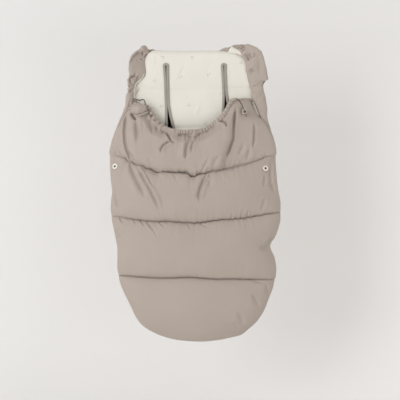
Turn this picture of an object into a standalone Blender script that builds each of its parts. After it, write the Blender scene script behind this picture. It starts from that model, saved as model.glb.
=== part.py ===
"""A pushchair footmuff, hanging upright by the pocket at the top of its back.

Metres, +Z up. The front faces -Y, and the origin is where the pocket rests on the top of a seat,
on the rear face of the back. The back lies behind the plane of the rim, and all that is sewn or
zipped to its rim lies in front of it: the zips, the side rolls and the covers. Each quilted layer
is lofted between two surfaces that share their rows and columns, so neighbours never meet.
"""

import math

import bmesh
import bpy
import numpy as np
from mathutils import Matrix, Vector

# Clearances
GAP = 0.0003  # between pieces that touch
EASY_GAP = 0.0008  # round pieces that slide on the zip or the cord
SEAM_GAP = 0.0006  # between two chambers at a seam

# Heights above the top of the seat, at the side and in the middle of the bag
PAD_TOP = 0.018
POCKET_PLAY = 0.0003
NECK_SIDE = -0.132
NECK_MIDDLE = -0.239
UPPER_SEAM_SIDE = -0.2925
UPPER_SEAM_MIDDLE = -0.351
MIDDLE_SEAM_SIDE = -0.474
MIDDLE_SEAM_MIDDLE = -0.4935
FOOT_SEAM_SIDE = -0.657
FOOT_SEAM_MIDDLE = -0.663
FOOT_LENGTH = 0.195
POCKET_HEM = -0.075

# Widths and depths
BAG_HALF_WIDTH = 0.257
BACK_DEPTH = 0.034
SIDE_ROUND = 0.034
TOP_ROUND = 0.012
PAD_THICKNESS = 0.018
PAD_CROWN = 0.008
SEWN_EDGE = 0.004
ZIP_WIDTH = 0.014
COVER_DEPTH = 0.078
UPPER_FILL = 0.015
MIDDLE_FILL = 0.026
LOWER_FILL = 0.028
FOOT_FILL = 0.027
SHELL_CLOTH = 0.0015
LINING_CLOTH = 0.0012
FOLD_CLEARANCE = 0.007

# The neckline's dip, and the zips that close its sides
NECK_DIP_AT = -0.026
NECK_DIP_HALF_WIDTH = 0.138
ZIP_TOP_IN_LEFT = 0.0315  # the roll's width beside the top of each zip
ZIP_TOP_IN_RIGHT = 0.0435
ZIP_FOOT_IN_LEFT = 0.0115  # and beside its foot
ZIP_FOOT_IN_RIGHT = 0.0106

# Harness slots through the back
SLOT_AT = 0.088
SLOT_TOP = -0.018
SLOT_LENGTH = 0.232
SLOT_GAP = 0.010
BINDING_WALL = 0.0025
BINDING_PROUD = 0.002

# Pocket over the seat
POCKET_DEPTH = 0.033
POCKET_ROUND = 0.012
POCKET_INSET = 0.038
POCKET_CLOTH = 0.0015
ELASTIC_WIDTH = 0.010
ELASTIC_THICKNESS = 0.0012
ELASTIC_UP = 0.002

# Neckline tunnel and its drawcord
TUNNEL_HALF_HEIGHT = 0.009
TUNNEL_HALF_DEPTH = 0.007
TUNNEL_BORE = 0.0026
TUNNEL_SEAT = 0.0018
TUNNEL_RUCHE_SHARE = 0.11
CORD_RADIUS = 0.0015

# Zip teeth, slider and pull
COIL_NEAR = 0.0012
COIL_WIDTH = 0.0027
COIL_HALF_THICKNESS = 0.0013
TAPE_HALF_THICKNESS = 0.0005
SLIDER_LENGTH = 0.011
SLIDER_WALL = 0.0012
SLIDER_WEB = 0.0016
SLIDER_WIDTH = 0.0068
SLIDER_DOWN = 0.004
BAIL_HEIGHT = 0.0032
BAIL_LENGTH = 0.0066
BAIL_WIDTH = 0.0026
BAIL_WALL = 0.0009
PULL_LENGTH = 0.040
PULL_THICKNESS = 0.0014
PULL_BAR = 0.0014
PULL_RAIL = 0.0016
PULL_WINDOW = 0.0055
ZIP_STRIP = 0.003
ZIP_RIDGE = 0.0008
ZIP_RIDGE_HALF = 0.0018

# Press studs
STUD_RADIUS = 0.0085
STUD_BORE = 0.0034
STUD_HEIGHT = 0.0022
STUD_EDGE = 0.0007
SOCKET_FLOOR = 0.0007
SOCKET_WALL = 0.0006

# Cord lock
LOCK_RADIUS = 0.0075
LOCK_LENGTH = 0.018
LOCK_EDGE = 0.0018
LOCK_BORE = 0.0042
LOCK_FLOOR = 0.0016
LOCK_HOLE = 0.0023
LOCK_HOLE_DEPTH = 0.0105
PLUNGER_PROUD = 0.0036
PLUNGER_TRAVEL = 0.0030
PLUNGER_END = 0.0062
PLUNGER_EDGE = 0.0006
SPRING_WIRE = 0.00035
SPRING_RADIUS = 0.0029
SPRING_TURNS = 3
KNOT_RADIUS = 0.003
CORD_STEP = 0.004

# Places of the small fittings on the covers, as shares across and down their panel
STUD_LEFT_SHARES = (-0.90, 0.163)
STUD_RIGHT_SHARES = (0.81, 0.165)
LOCK_SHARES = (0.80, 0.20)

# Half widths of the outline, left and right, against the way down from the top to the foot seam
OUTLINE_SHARES = (
    (-0.034, 0.568, 0.591),
    (-0.018, 0.622, 0.716),
    (0.000, 0.669, 0.766),
    (0.019, 0.716, 0.802),
    (0.053, 0.782, 0.825),
    (0.093, 0.790, 0.844),
    (0.129, 0.805, 0.844),
    (0.139, 0.798, 0.805),
    (0.182, 0.790, 0.805),
    (0.244, 0.829, 0.833),
    (0.324, 0.895, 0.860),
    (0.460, 0.998, 0.944),
    (0.529, 0.984, 0.944),
    (0.622, 0.961, 0.969),
    (0.698, 0.990, 0.998),
    (0.760, 0.973, 0.984),
    (0.867, 0.914, 0.903),
    (0.953, 0.914, 0.942),
    (1.000, 0.899, 0.934),
)
# The side rolls above the zips: way down, inner edge left and right, depth against the full roll
ROLL_DEPTH = 0.029
ROLL_SHARES = (
    (-0.034, 0.545, 0.560, 0.20),
    (-0.018, 0.550, 0.545, 0.50),
    (0.000, 0.575, 0.580, 0.72),
    (0.030, 0.590, 0.600, 0.88),
    (0.080, 0.602, 0.608, 1.00),
    (0.125, 0.612, 0.616, 1.00),
    (0.145, 0.640, 0.620, 0.92),
    (0.175, 0.705, 0.640, 0.95),
)
# Columns and rows of the quilted layers
BACK_COLUMN_SHARES = (1.0, 0.985, 0.95, 0.90, 0.82, 0.50, 0.17)
COVER_COLUMN_SHARES = (1.0, 0.985, 0.95, 0.90, 0.81, 0.62, 0.33, 0.0)
NECK_COLUMN_SHARES = (1.0, 0.985, 0.95, 0.88, 0.80, 0.70, 0.58, 0.45, 0.30, 0.15, 0.0)
CHANNEL_ROW_SHARES = (0.0, 0.25, 0.75)
TOP_ROW_SHARES = (0.0, 0.03, 0.09, 0.28, 0.75)
CHAMBER_ROW_SHARES = (0.0, 0.05, 0.2, 0.5, 0.8, 0.95, 1.0)
NECK_ROW_SHARES = (0.0, 0.04, 0.14, 0.32, 0.55, 0.78, 0.94, 1.0)
FOOT_ROW_SHARES = (0.0, 0.05, 0.18, 0.4, 0.65, 0.85, 0.96, 1.0)
POCKET_COLUMN_SHARES = (1.0, 0.985, 0.95, 0.9, 0.6, 0.25)
POCKET_ROW_SHARES = (0.0, 0.04, 0.12, 0.3, 0.65, 1.0)
FOOT_BAND_SHARES = (0.0, 0.25, 0.5, 0.7, 0.85, 1.0)
PROBE_SHARE = 0.12
QUILT_CHANNELS = 6
SIDE_ZIP_STEPS = 14
ROLL_SIDES = 8
TUNNEL_RINGS = 40
TUNNEL_SIDES = 8

# Worked out from the sizes above
BODY_LENGTH = PAD_TOP - FOOT_SEAM_SIDE
RIM_Y = -BACK_DEPTH
COVER_EDGE_Y = RIM_Y - ZIP_WIDTH
ZIP_Y = COVER_EDGE_Y - 2 * GAP - COIL_HALF_THICKNESS
ZIP_HALF = ZIP_WIDTH / 2
COVER_FRONT = COVER_DEPTH + SEWN_EDGE + max(UPPER_FILL, MIDDLE_FILL, LOWER_FILL, FOOT_FILL)
FOLD_AXIS = Vector((0, -(COVER_FRONT + FOLD_CLEARANCE), UPPER_SEAM_MIDDLE))
LEFT, RIGHT = -1, 1

for old in list(bpy.data.objects):
    bpy.data.objects.remove(old, do_unlink=True)
parts = bpy.data.collections.new("stroller_footmuff")
cutters = bpy.data.collections.new("cutters")
bpy.context.scene.collection.children.link(parts)
bpy.context.scene.collection.children.link(cutters)


# Materials and objects


def finish(name, colour, roughness, metallic=0.0):
    """A Principled material with one colour."""
    material = bpy.data.materials.new(name)
    material.use_nodes = True
    shader = material.node_tree.nodes["Principled BSDF"]
    shader.inputs["Base Color"].default_value = (*colour, 1)
    shader.inputs["Roughness"].default_value = roughness
    shader.inputs["Metallic"].default_value = metallic
    return material


SHELL = finish("taupe shell cloth", (0.44, 0.38, 0.33), 0.75)
LINING = finish("cream lining cloth", (0.79, 0.76, 0.69), 0.9)
WADDING = finish("white wadding", (0.88, 0.88, 0.86), 0.95)
BINDING = finish("taupe binding tape", (0.36, 0.33, 0.29), 0.8)
ELASTIC = finish("elastic", (0.5, 0.46, 0.41), 0.85)
TAPE = finish("zip tape", (0.40, 0.35, 0.30), 0.8)
METAL = finish("nickel", (0.62, 0.60, 0.57), 0.3, 1.0)
CORD = finish("dark cord", (0.16, 0.13, 0.11), 0.8)
STUD = finish("cream stud plastic", (0.80, 0.76, 0.70), 0.4)
SOCKET = finish("stud socket metal", (0.20, 0.17, 0.15), 0.35, 1.0)
LOCK = finish("taupe moulded plastic", (0.42, 0.37, 0.32), 0.45)
STEEL = finish("spring steel", (0.55, 0.55, 0.55), 0.3, 1.0)


def add(name, mesh, material, parent=None, where=Matrix.Identity(4), collection=parts):
    """A named object for a mesh, with its own material, placed and hung on its parent."""
    obj = bpy.data.objects.new(name, mesh)
    collection.objects.link(obj)
    obj.matrix_world = where
    if material:
        mesh.materials.append(material)
    if parent:
        obj.parent = parent
        obj.matrix_parent_inverse = parent.matrix_world.inverted()
    return obj


def pivot(name, where, parent=None):
    """An empty on a joint's axis, which carries the pieces that move about it."""
    empty = bpy.data.objects.new(name, None)
    parts.objects.link(empty)
    empty.matrix_world = Matrix.Translation(where)
    if parent:
        empty.parent = parent
        empty.matrix_parent_inverse = parent.matrix_world.inverted()
    bpy.context.view_layer.update()
    return empty


def mesh_of(bm, name):
    """The finished mesh of a bmesh, facing outwards."""
    bmesh.ops.recalc_face_normals(bm, faces=bm.faces)
    mesh = bpy.data.meshes.new(name)
    bm.to_mesh(mesh)
    bm.free()
    return mesh


def cut(obj, cutter, operation="DIFFERENCE"):
    """Cuts an object with another, or joins it on."""
    modifier = obj.modifiers.new(cutter.name, "BOOLEAN")
    modifier.operation = operation
    modifier.object = cutter
    cutter.display_type = "WIRE"
    cutter.hide_render = True


# The outline and the surfaces that the layers follow


def half_width(z, side):
    """Half the bag's width at a height, on one side."""
    column = 1 if side < 0 else 2
    down = (PAD_TOP - z) / BODY_LENGTH
    shares = np.array(OUTLINE_SHARES)
    return BAG_HALF_WIDTH * float(np.interp(down, shares[:, 0], shares[:, column]))


def zip_x(z, side):
    """Where the straight upper zip lies at a height."""
    left, right = (ZIP_TOP_IN_LEFT, ZIP_FOOT_IN_LEFT), (ZIP_TOP_IN_RIGHT, ZIP_FOOT_IN_RIGHT)
    top_in, foot_in = left if side < 0 else right
    top = half_width(NECK_SIDE, side) - top_in
    foot = half_width(UPPER_SEAM_SIDE, side) - foot_in
    share = (NECK_SIDE - z) / (NECK_SIDE - UPPER_SEAM_SIDE)
    return side * (top + (foot - top) * share)


def both_sides(shares):
    """A row of shares from the left edge to the right one."""
    left = [-share for share in shares]
    right = [share for share in reversed(shares) if share > 0]
    return left + right


def curl(distance, round_off):
    """How far into a rounded edge a point lies, from 0 on the flat to 1 at the rim."""
    return min(1.0, max(0.0, 1 - distance / round_off))


def disc(u, s):
    """A square's point on the lower half of a disc, and the way out from the disc's middle."""
    across = u * math.sqrt(1 - s * s / 2)
    down = s * math.sqrt(1 - u * u / 2)
    return across, down


def back_place(u, row):
    """A point of the back seen from the front, with how far it is into the sides and the end.

    row runs from 0 to 1 down the body, and on to 2 round the foot.
    """
    side = LEFT if u < 0 else RIGHT
    if row <= 1:
        z = PAD_TOP - row * BODY_LENGTH
        width = half_width(z, side)
        return width * u, z, curl((1 - abs(u)) * width, SIDE_ROUND), 0.0
    s = row - 1
    width = half_width(FOOT_SEAM_SIDE, side)
    across, down = disc(u, s)
    end = curl((1 - s) * FOOT_LENGTH, SIDE_ROUND)
    z = FOOT_SEAM_SIDE - FOOT_LENGTH * down
    return width * across, z, curl((1 - abs(u)) * width, SIDE_ROUND), end


def quilt_crown(row):
    """The swell of the back's quilting, from 0 at a sewn line to 1."""
    pitch = 1 / QUILT_CHANNELS
    if row <= 1:
        share = (row / pitch) % 1
        return math.sqrt(max(0.0, math.sin(math.pi * share)))
    return math.sqrt(max(0.0, math.sin(math.pi * (row - 1))))


def back_rays(columns, rows):
    """For each point of the back, its outer and inner surface: the rear face and the lining's."""
    outer, inner = [], []
    for row in rows:
        outer.append([])
        inner.append([])
        for u in columns:
            x, z, side, end = back_place(u, row)
            top = curl(PAD_TOP - z, TOP_ROUND)
            rim = 1 - (1 - side) * (1 - end) * (1 - top)
            outward = Vector((math.copysign(side, u), 0, top - end))
            if outward.length > 0:
                outward.normalize()
            outer[-1].append(Vector((x, RIM_Y * (1 - math.sqrt(1 - rim * rim)), z)))
            face = -(PAD_THICKNESS + PAD_CROWN * quilt_crown(row) * (1 - rim))
            face = face * (1 - rim) + RIM_Y * rim
            inner[-1].append(Vector((x, face, z)) - SEWN_EDGE * rim * outward)
    return outer, inner


def neck_z(x):
    """The height of the neckline: flat flaps at the zips and a dip between them."""
    off = abs(x - NECK_DIP_AT) / NECK_DIP_HALF_WIDTH
    return NECK_MIDDLE + (NECK_SIDE - NECK_MIDDLE) * min(1.0, off**3)


def seam_z(middle, side, u):
    """A seam that sags from its ends to the middle."""
    return middle + (side - middle) * abs(u) ** 1.3


def neck_edge(side):
    """Half the upper cover's width at the neckline and at its seam, to the inside of its edge."""
    slant = ZIP_HALF / math.cos(math.atan2(*zip_slope(side)))
    inset = slant + GAP + SEWN_EDGE
    return abs(zip_x(NECK_SIDE, side)) - inset, abs(zip_x(UPPER_SEAM_SIDE, side)) - inset


def zip_slope(side):
    """How far the upper zip runs out, and down, along its length."""
    out = abs(zip_x(UPPER_SEAM_SIDE, side)) - abs(zip_x(NECK_SIDE, side))
    return out, NECK_SIDE - UPPER_SEAM_SIDE


def bulge(u):
    """How far a cover stands forward across its width, from 0 at the zips to 1."""
    return max(0.0, 1 - u * u) ** 0.45


def crown(s):
    """How full a chamber is between its seams, from 0 at a seam to 1."""
    return max(0.0, math.sin(math.pi * s)) ** 0.55


def fullness(u):
    """How full a chamber is across its width: drawn in at the sides."""
    return math.sqrt(max(0.0, 1 - abs(u) ** 6))


def upper_cover(u, s):
    """The inside of the upper cover, the way out from it, and its thickness."""
    side = LEFT if u < 0 else RIGHT
    top, foot = neck_edge(side)
    half = top + (foot - top) * s
    x = u * half
    high = neck_z(u * top)
    z = high + (seam_z(UPPER_SEAM_MIDDLE, UPPER_SEAM_SIDE, u) - high) * s
    y = COVER_EDGE_Y - (COVER_DEPTH + COVER_EDGE_Y) * bulge(u)
    out = Vector((u, -math.sqrt(1 - u * u), 0))
    thick = SEWN_EDGE + UPPER_FILL * crown(s) * fullness(u)
    to_zip = SEWN_EDGE + half * (1 - abs(u))
    return Vector((x, y, z)), out, min(thick, to_zip / max(abs(u), to_zip / thick))


def lower_cover(fill, top, foot):
    """The chamber between two seams, each given by its heights in the middle and at the side."""

    def place(u, s):
        high = seam_z(*top, u)
        low = seam_z(*foot, u)
        edge = top[1] + (foot[1] - top[1]) * s
        width = half_width(edge, LEFT if u < 0 else RIGHT) - SEWN_EDGE
        y = COVER_EDGE_Y - (COVER_DEPTH + COVER_EDGE_Y) * bulge(u)
        out = Vector((u, -math.sqrt(1 - u * u), 0))
        thick = SEWN_EDGE + fill * crown(s) * fullness(u)
        return Vector((width * u, y, high + (low - high) * s)), out, thick

    return place


def foot_cover(u, s):
    """The rounded chamber below the last seam."""
    across, down = disc(u, s)
    width = half_width(FOOT_SEAM_SIDE, LEFT if u < 0 else RIGHT) - SEWN_EDGE
    sag = (FOOT_SEAM_MIDDLE - FOOT_SEAM_SIDE) * (1 - abs(u) ** 1.3) * (1 - s)
    z = FOOT_SEAM_SIDE + sag - (FOOT_LENGTH - SEWN_EDGE) * down
    y = COVER_EDGE_Y - (COVER_DEPTH + COVER_EDGE_Y) * bulge(u) * bulge(s)
    out = Vector((across, -math.sqrt((1 - u * u) * (1 - s * s)), -down)).normalized()
    return Vector((width * across, y, z)), out, SEWN_EDGE + FOOT_FILL * crown(s) * fullness(u)


upper_seam = (UPPER_SEAM_MIDDLE, UPPER_SEAM_SIDE)
middle_seam = (MIDDLE_SEAM_MIDDLE, MIDDLE_SEAM_SIDE)
foot_seam = (FOOT_SEAM_MIDDLE, FOOT_SEAM_SIDE)
middle_cover = lower_cover(MIDDLE_FILL, upper_seam, middle_seam)
low_cover = lower_cover(LOWER_FILL, middle_seam, foot_seam)


def cover_rays(place, columns, rows, height):
    """A cover's inner and outer surface, drawn in a little at its two seams."""
    margin = SEAM_GAP / height
    inner, outer = [], []
    for s in rows:
        at = min(1 - margin, max(margin, s))
        points = [place(u, at) for u in columns]
        inner.append([point for point, _, _ in points])
        outer.append([point + out * thick for point, out, thick in points])
    return inner, outer


def between(surfaces, near_inset, far_inset):
    """Two surfaces inside a padded sheet: one from its first surface, one from its second."""
    near, far = [], []
    for first_row, second_row in zip(*surfaces):
        near.append([p + (q - p).normalized() * near_inset for p, q in zip(first_row, second_row)])
        far.append([q - (q - p).normalized() * far_inset for p, q in zip(first_row, second_row)])
    return near, far


def facing(surfaces, thickness, first):
    """The cloth on the first or the second surface of a padded sheet."""
    near, far = between(surfaces, thickness, thickness)
    return (surfaces[0], near) if first else (far, surfaces[1])


def loft_sheet(surfaces, top_rows):
    """A closed body between two surfaces with the same rows and columns.

    Each cell is split from the corner of the sheet that it lies nearest to, counting the first
    top_rows rows to the upper corners, so that the rounded corners keep their thickness.
    """
    bm = bmesh.new()
    grids = [[[bm.verts.new(p) for p in row] for row in surface] for surface in surfaces]
    rows, columns = len(grids[0]), len(grids[0][0])
    for grid in grids:
        for i in range(rows - 1):
            for j in range(columns - 1):
                a, b, c, d = grid[i][j], grid[i][j + 1], grid[i + 1][j + 1], grid[i + 1][j]
                if (j < (columns - 1) / 2) != (i < top_rows):
                    a, b, c, d = b, c, d, a
                bm.faces.new((a, b, c))
                bm.faces.new((a, c, d))
    rim = [(0, j) for j in range(columns)] + [(i, columns - 1) for i in range(1, rows)]
    rim += [(rows - 1, j) for j in range(columns - 2, -1, -1)]
    rim += [(i, 0) for i in range(rows - 2, 0, -1)]
    for k, (i, j) in enumerate(rim):
        m, n = rim[(k + 1) % len(rim)]
        near, far = grids
        bm.faces.new((near[i][j], near[m][n], far[m][n], far[i][j]))
    return bm


def sheet(name, surfaces, material, parent=None, top_rows=0):
    """A named layer of cloth or wadding."""
    return add(name, mesh_of(loft_sheet(surfaces, top_rows), name), material, parent)


def loft_rings(rings, closed_ends=True):
    """A body through rings of points, with flat ends."""
    bm = bmesh.new()
    loops = [[bm.verts.new(p) for p in ring] for ring in rings]
    for near, far in zip(loops, loops[1:]):
        for k in range(len(near)):
            following = (k + 1) % len(near)
            bm.faces.new((near[k], near[following], far[following], far[k]))
    if closed_ends:
        bm.faces.new(loops[0])
        bm.faces.new(reversed(loops[-1]))
    return bm


def extruded(section, start, run):
    """A flat outline, pushed along a straight run."""
    bm = bmesh.new()
    face = bm.faces.new([bm.verts.new(start + p) for p in section])
    result = bmesh.ops.extrude_face_region(bm, geom=[face])
    moved = [item for item in result["geom"] if isinstance(item, bmesh.types.BMVert)]
    bmesh.ops.translate(bm, verts=moved, vec=run)
    return bm


def turned(profile, steps=16):
    """A profile of radius and height, turned round the Z axis."""
    bm = bmesh.new()
    verts = [bm.verts.new((radius, 0, height)) for radius, height in profile]
    edges = [bm.edges.new(pair) for pair in zip(verts, verts[1:])]
    bmesh.ops.spin(
        bm,
        geom=verts + edges,
        cent=(0, 0, 0),
        axis=(0, 0, 1),
        angle=2 * math.pi,
        steps=steps,
        use_merge=True,
    )
    bmesh.ops.remove_doubles(bm, verts=bm.verts, dist=GAP / 100)
    return bm


def tube(name, points, radius, material, parent=None, sides=2):
    """A round cord or wire along a line of points."""
    curve = bpy.data.curves.new(name, "CURVE")
    curve.dimensions = "3D"
    curve.bevel_depth = radius
    curve.bevel_resolution = sides
    curve.use_fill_caps = True
    spline = curve.splines.new("POLY")
    spline.points.add(len(points) - 1)
    for item, point in zip(spline.points, points):
        item.co = (*point, 1)
    return add(name, curve, material, parent)


def smooth_line(points, spacing):
    """Points a given distance apart on the smooth curve through a route's own points."""
    points = [Vector(p) for p in points]
    padded = [2 * points[0] - points[1]] + points + [2 * points[-1] - points[-2]]
    fine = []
    for a, b, c, d in zip(padded, padded[1:], padded[2:], padded[3:]):
        for k in range(16):
            t = k / 16
            cubic = (2 * b, c - a, 2 * a - 5 * b + 4 * c - d, 3 * b - a - 3 * c + d)
            fine.append(sum((term * t**n for n, term in enumerate(cubic)), Vector()) / 2)
    fine.append(points[-1])
    along = np.cumsum([0] + [(q - p).length for p, q in zip(fine, fine[1:])])
    at = np.linspace(0, along[-1], max(3, round(along[-1] / spacing) + 1))
    return [Vector(np.interp(d, along, [p[k] for p in fine]) for k in range(3)) for d in at]


def block(name, low, high, bevel, collection=parts, material=None, axis=None, parent=None):
    """A box between two corners, with the edges along one axis rounded, or all of them."""
    bm = bmesh.new()
    bmesh.ops.create_cube(bm, size=1)
    size = Vector(high) - Vector(low)
    bmesh.ops.scale(bm, vec=size, verts=bm.verts)
    bmesh.ops.translate(bm, vec=(Vector(high) + Vector(low)) / 2, verts=bm.verts)
    edges = []
    for edge in bm.edges:
        run = edge.verts[0].co - edge.verts[1].co
        if axis is None or abs(run[axis]) > run.length / 2:
            edges.append(edge)
    bmesh.ops.bevel(bm, geom=edges, offset=bevel, segments=4 if axis is not None else 2, profile=0.5,
                    affect="EDGES", material=-1)
    return add(name, mesh_of(bm, name), material, parent, collection=collection)


# The back: outer cloth, wadding and quilted lining, with the two harness slots through them

back_columns = both_sides(BACK_COLUMN_SHARES)
back_rows = []
for channel in range(QUILT_CHANNELS):
    shares = TOP_ROW_SHARES if channel == 0 else CHANNEL_ROW_SHARES
    back_rows += [(channel + share) / QUILT_CHANNELS for share in shares]
back_rows += [1 + share for share in FOOT_ROW_SHARES]
back = back_rays(back_columns, back_rows)
body_rows = len(back_rows) - len(FOOT_ROW_SHARES)
back_shell = sheet("back_shell", facing(back, SHELL_CLOTH, True), SHELL, top_rows=body_rows)
inside = between(back, SHELL_CLOTH + GAP, LINING_CLOTH + GAP)
back_wadding = sheet("back_wadding", inside, WADDING, top_rows=body_rows)
back_lining = sheet("back_lining", facing(back, LINING_CLOTH, False), LINING, top_rows=body_rows)

slot_middle = SLOT_TOP - SLOT_LENGTH / 2
front_of_slot = -(PAD_THICKNESS + PAD_CROWN + BINDING_PROUD)
for side, word in ((LEFT, "left"), (RIGHT, "right")):
    half = SLOT_GAP / 2 + BINDING_WALL
    reach = SLOT_LENGTH / 2 + BINDING_WALL
    low = Vector((side * SLOT_AT - half, front_of_slot, slot_middle - reach))
    high = Vector((side * SLOT_AT + half, BINDING_PROUD, slot_middle + reach))
    room = Vector((GAP, BINDING_PROUD, GAP))
    hole = block(f"slot_cutter_{word}", low - room, high + room, half, cutters, axis=1)
    for pad in (back_shell, back_wadding, back_lining):
        cut(pad, hole)
    inset = Vector((BINDING_WALL, -BINDING_PROUD, BINDING_WALL))
    gap_round = SLOT_GAP / 2 - GAP
    gap = block(f"slot_gap_{word}", low + inset, high - inset, gap_round, cutters, axis=1)
    binding = block(f"slot_binding_{word}", low, high, half - GAP, material=BINDING, axis=1)
    cut(binding, gap)


# The pocket that slips over the top of the seat, and the elastic in its hem


def pocket_rays():
    """The pocket's outer and inner surface."""
    columns = both_sides(POCKET_COLUMN_SHARES)
    top = POCKET_PLAY + POCKET_CLOTH
    outer, inner = [], []
    for row_share in POCKET_ROW_SHARES:
        z = top + (POCKET_HEM - top) * row_share
        outer.append([])
        inner.append([])
        for u in columns:
            width = half_width(z, LEFT if u < 0 else RIGHT) - POCKET_INSET
            side = curl((1 - abs(u)) * width, POCKET_ROUND)
            high = curl(top - z, POCKET_ROUND)
            rim = 1 - (1 - side) * (1 - high)
            depth = GAP + (POCKET_DEPTH - GAP) * math.sqrt(1 - rim * rim)
            point = Vector((width * u, depth, z))
            away = Vector((math.copysign(side, u), 0, high))
            away = away * (rim / away.length) if away.length > 0 else away
            away += Vector((0, math.sqrt(1 - rim * rim), 0))
            outer[-1].append(point)
            inner[-1].append(point - away.normalized() * POCKET_CLOTH)
    return outer, inner


sheet("seat_pocket", pocket_rays(), SHELL, top_rows=len(POCKET_ROW_SHARES))
elastic_half = half_width(POCKET_HEM, LEFT) - POCKET_INSET - 2 * POCKET_ROUND
elastic_y = POCKET_DEPTH - POCKET_CLOTH - GAP
elastic_low = POCKET_HEM + ELASTIC_UP
block(
    "pocket_elastic",
    (-elastic_half, elastic_y - ELASTIC_THICKNESS, elastic_low),
    (elastic_half, elastic_y, elastic_low + ELASTIC_WIDTH),
    ELASTIC_THICKNESS / 4,
    material=ELASTIC,
)


# The covers: cloth, wadding and lining of each chamber

cover_pivot = pivot("cover_fold_axis", FOLD_AXIS)
cover_columns = both_sides(COVER_COLUMN_SHARES)
neck_columns = both_sides(NECK_COLUMN_SHARES)


def chamber(name, place, columns, rows, height, parent=None):
    """The outer cloth and the wadding of one chamber of the front."""
    rays = cover_rays(place, columns, rows, height)
    sheet(f"{name}_cloth", facing(rays, SHELL_CLOTH, False), SHELL, parent)
    filling = between(rays, LINING_CLOTH + GAP, SHELL_CLOTH + GAP)
    sheet(f"{name}_wadding", filling, WADDING, parent)
    return rays


upper_height = NECK_SIDE - UPPER_SEAM_SIDE
neck = chamber("upper_cover", upper_cover, neck_columns, NECK_ROW_SHARES, upper_height, cover_pivot)
sheet("upper_cover_lining", facing(neck, LINING_CLOTH, True), LINING, cover_pivot)
middle_height = UPPER_SEAM_SIDE - MIDDLE_SEAM_SIDE
low_height = MIDDLE_SEAM_SIDE - FOOT_SEAM_SIDE
fronts = [
    chamber("middle_cover", middle_cover, cover_columns, CHAMBER_ROW_SHARES, middle_height),
    chamber("lower_cover", low_cover, cover_columns, CHAMBER_ROW_SHARES, low_height),
    chamber("foot_cover", foot_cover, cover_columns, FOOT_ROW_SHARES, FOOT_LENGTH),
]
lining_rows = [[], []]
for rays in fronts:
    lined = facing(rays, LINING_CLOTH, True)
    for which in (0, 1):
        lining_rows[which] += lined[which] if rays is fronts[-1] else lined[which][:-1]
sheet("front_lining", lining_rows, LINING)


# The side rolls: the padded edges above the zips, which rise into the ears at the top corners


def zip_reach(side):
    """Half the zip's width, measured level across its slant."""
    return ZIP_HALF / math.cos(math.atan2(*zip_slope(side)))


def roll_ring(z, side):
    """The roll's outline at a height: flat on the rim of the back, and round in front."""
    rows = np.array(ROLL_SHARES)
    down = (PAD_TOP - z) / BODY_LENGTH
    outer = half_width(z, side)
    beside_zip = abs(zip_x(z, side)) + zip_reach(side) + GAP
    if z < NECK_SIDE + SLIDER_LENGTH:
        share = max(0.0, (NECK_SIDE - z) / (NECK_SIDE - UPPER_SEAM_SIDE))
        depth = rows[-1, 3] + (ZIP_WIDTH / ROLL_DEPTH - rows[-1, 3]) * share
        edge = beside_zip
    else:
        depth = float(np.interp(down, rows[:, 0], rows[:, 3]))
        edge = BAG_HALF_WIDTH * float(np.interp(down, rows[:, 0], rows[:, 1 if side < 0 else 2]))
    middle, half = (outer + edge) / 2, (outer - edge) / 2
    ring = []
    for k in range(ROLL_SIDES + 1):
        angle = math.pi * k / ROLL_SIDES
        x = side * (middle - half * math.cos(angle))
        ring.append(Vector((x, RIM_Y - GAP - ROLL_DEPTH * depth * math.sin(angle) ** 0.8, z)))
    return ring


roll_foot = UPPER_SEAM_SIDE + SEWN_EDGE
roll_heights = [PAD_TOP - row[0] * BODY_LENGTH for row in ROLL_SHARES]
roll_heights += [NECK_SIDE + (roll_foot - NECK_SIDE) * k / 6 for k in range(7)]
for side, word in ((LEFT, "left"), (RIGHT, "right")):
    rings = [roll_ring(z, side) for z in sorted(set(roll_heights), reverse=True)]
    add(f"side_roll_{word}", mesh_of(loft_rings(rings), "side roll"), SHELL)


# The neckline's ruched tunnel, with the drawcord in its bore

neckline = [(p + q) / 2 for p, q in zip(neck[0][0], neck[1][0])]
dip = [p for p in neckline if abs(p.x - NECK_DIP_AT) < NECK_DIP_HALF_WIDTH]
along_neck = np.cumsum([0] + [(q - p).length for p, q in zip(dip, dip[1:])])
tunnel_line = []
for at in np.linspace(TUNNEL_HALF_HEIGHT, along_neck[-1] - TUNNEL_HALF_HEIGHT, TUNNEL_RINGS):
    tunnel_line.append(Vector(np.interp(at, along_neck, [p[k] for p in dip]) for k in range(3)))


def way_up(line, k):
    """The way up from a line in the frontal plane, square to it."""
    ahead = line[min(k + 2, len(line) - 1)] - line[max(k - 2, 0)]
    return Vector((-ahead.z, 0, ahead.x)).normalized()


FORWARD = Vector((0, -1, 0))
lift = TUNNEL_HALF_HEIGHT * (1 + TUNNEL_RUCHE_SHARE) + TUNNEL_SEAT
turn = [2 * math.pi * step / TUNNEL_SIDES for step in range(TUNNEL_SIDES)]
cord_line, outer_rings, bore_rings = [], [], []
for k in range(TUNNEL_RINGS):
    up = way_up(tunnel_line, k)
    centre = tunnel_line[k] + up * lift
    cord_line.append(centre)
    ruche = 1 + TUNNEL_RUCHE_SHARE * (1 if k % 2 else -1)
    tall, deep = up * TUNNEL_HALF_HEIGHT * ruche, FORWARD * TUNNEL_HALF_DEPTH * ruche
    outer_rings.append([centre + tall * math.cos(a) + deep * math.sin(a) for a in turn])
    tall, deep = up * TUNNEL_BORE, FORWARD * TUNNEL_BORE
    bore_rings.append([centre + tall * math.cos(a) + deep * math.sin(a) for a in turn])
tunnel = loft_rings(outer_rings + bore_rings[::-1] + outer_rings[:1], closed_ends=False)
bmesh.ops.remove_doubles(tunnel, verts=tunnel.verts, dist=GAP / 100)
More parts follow.
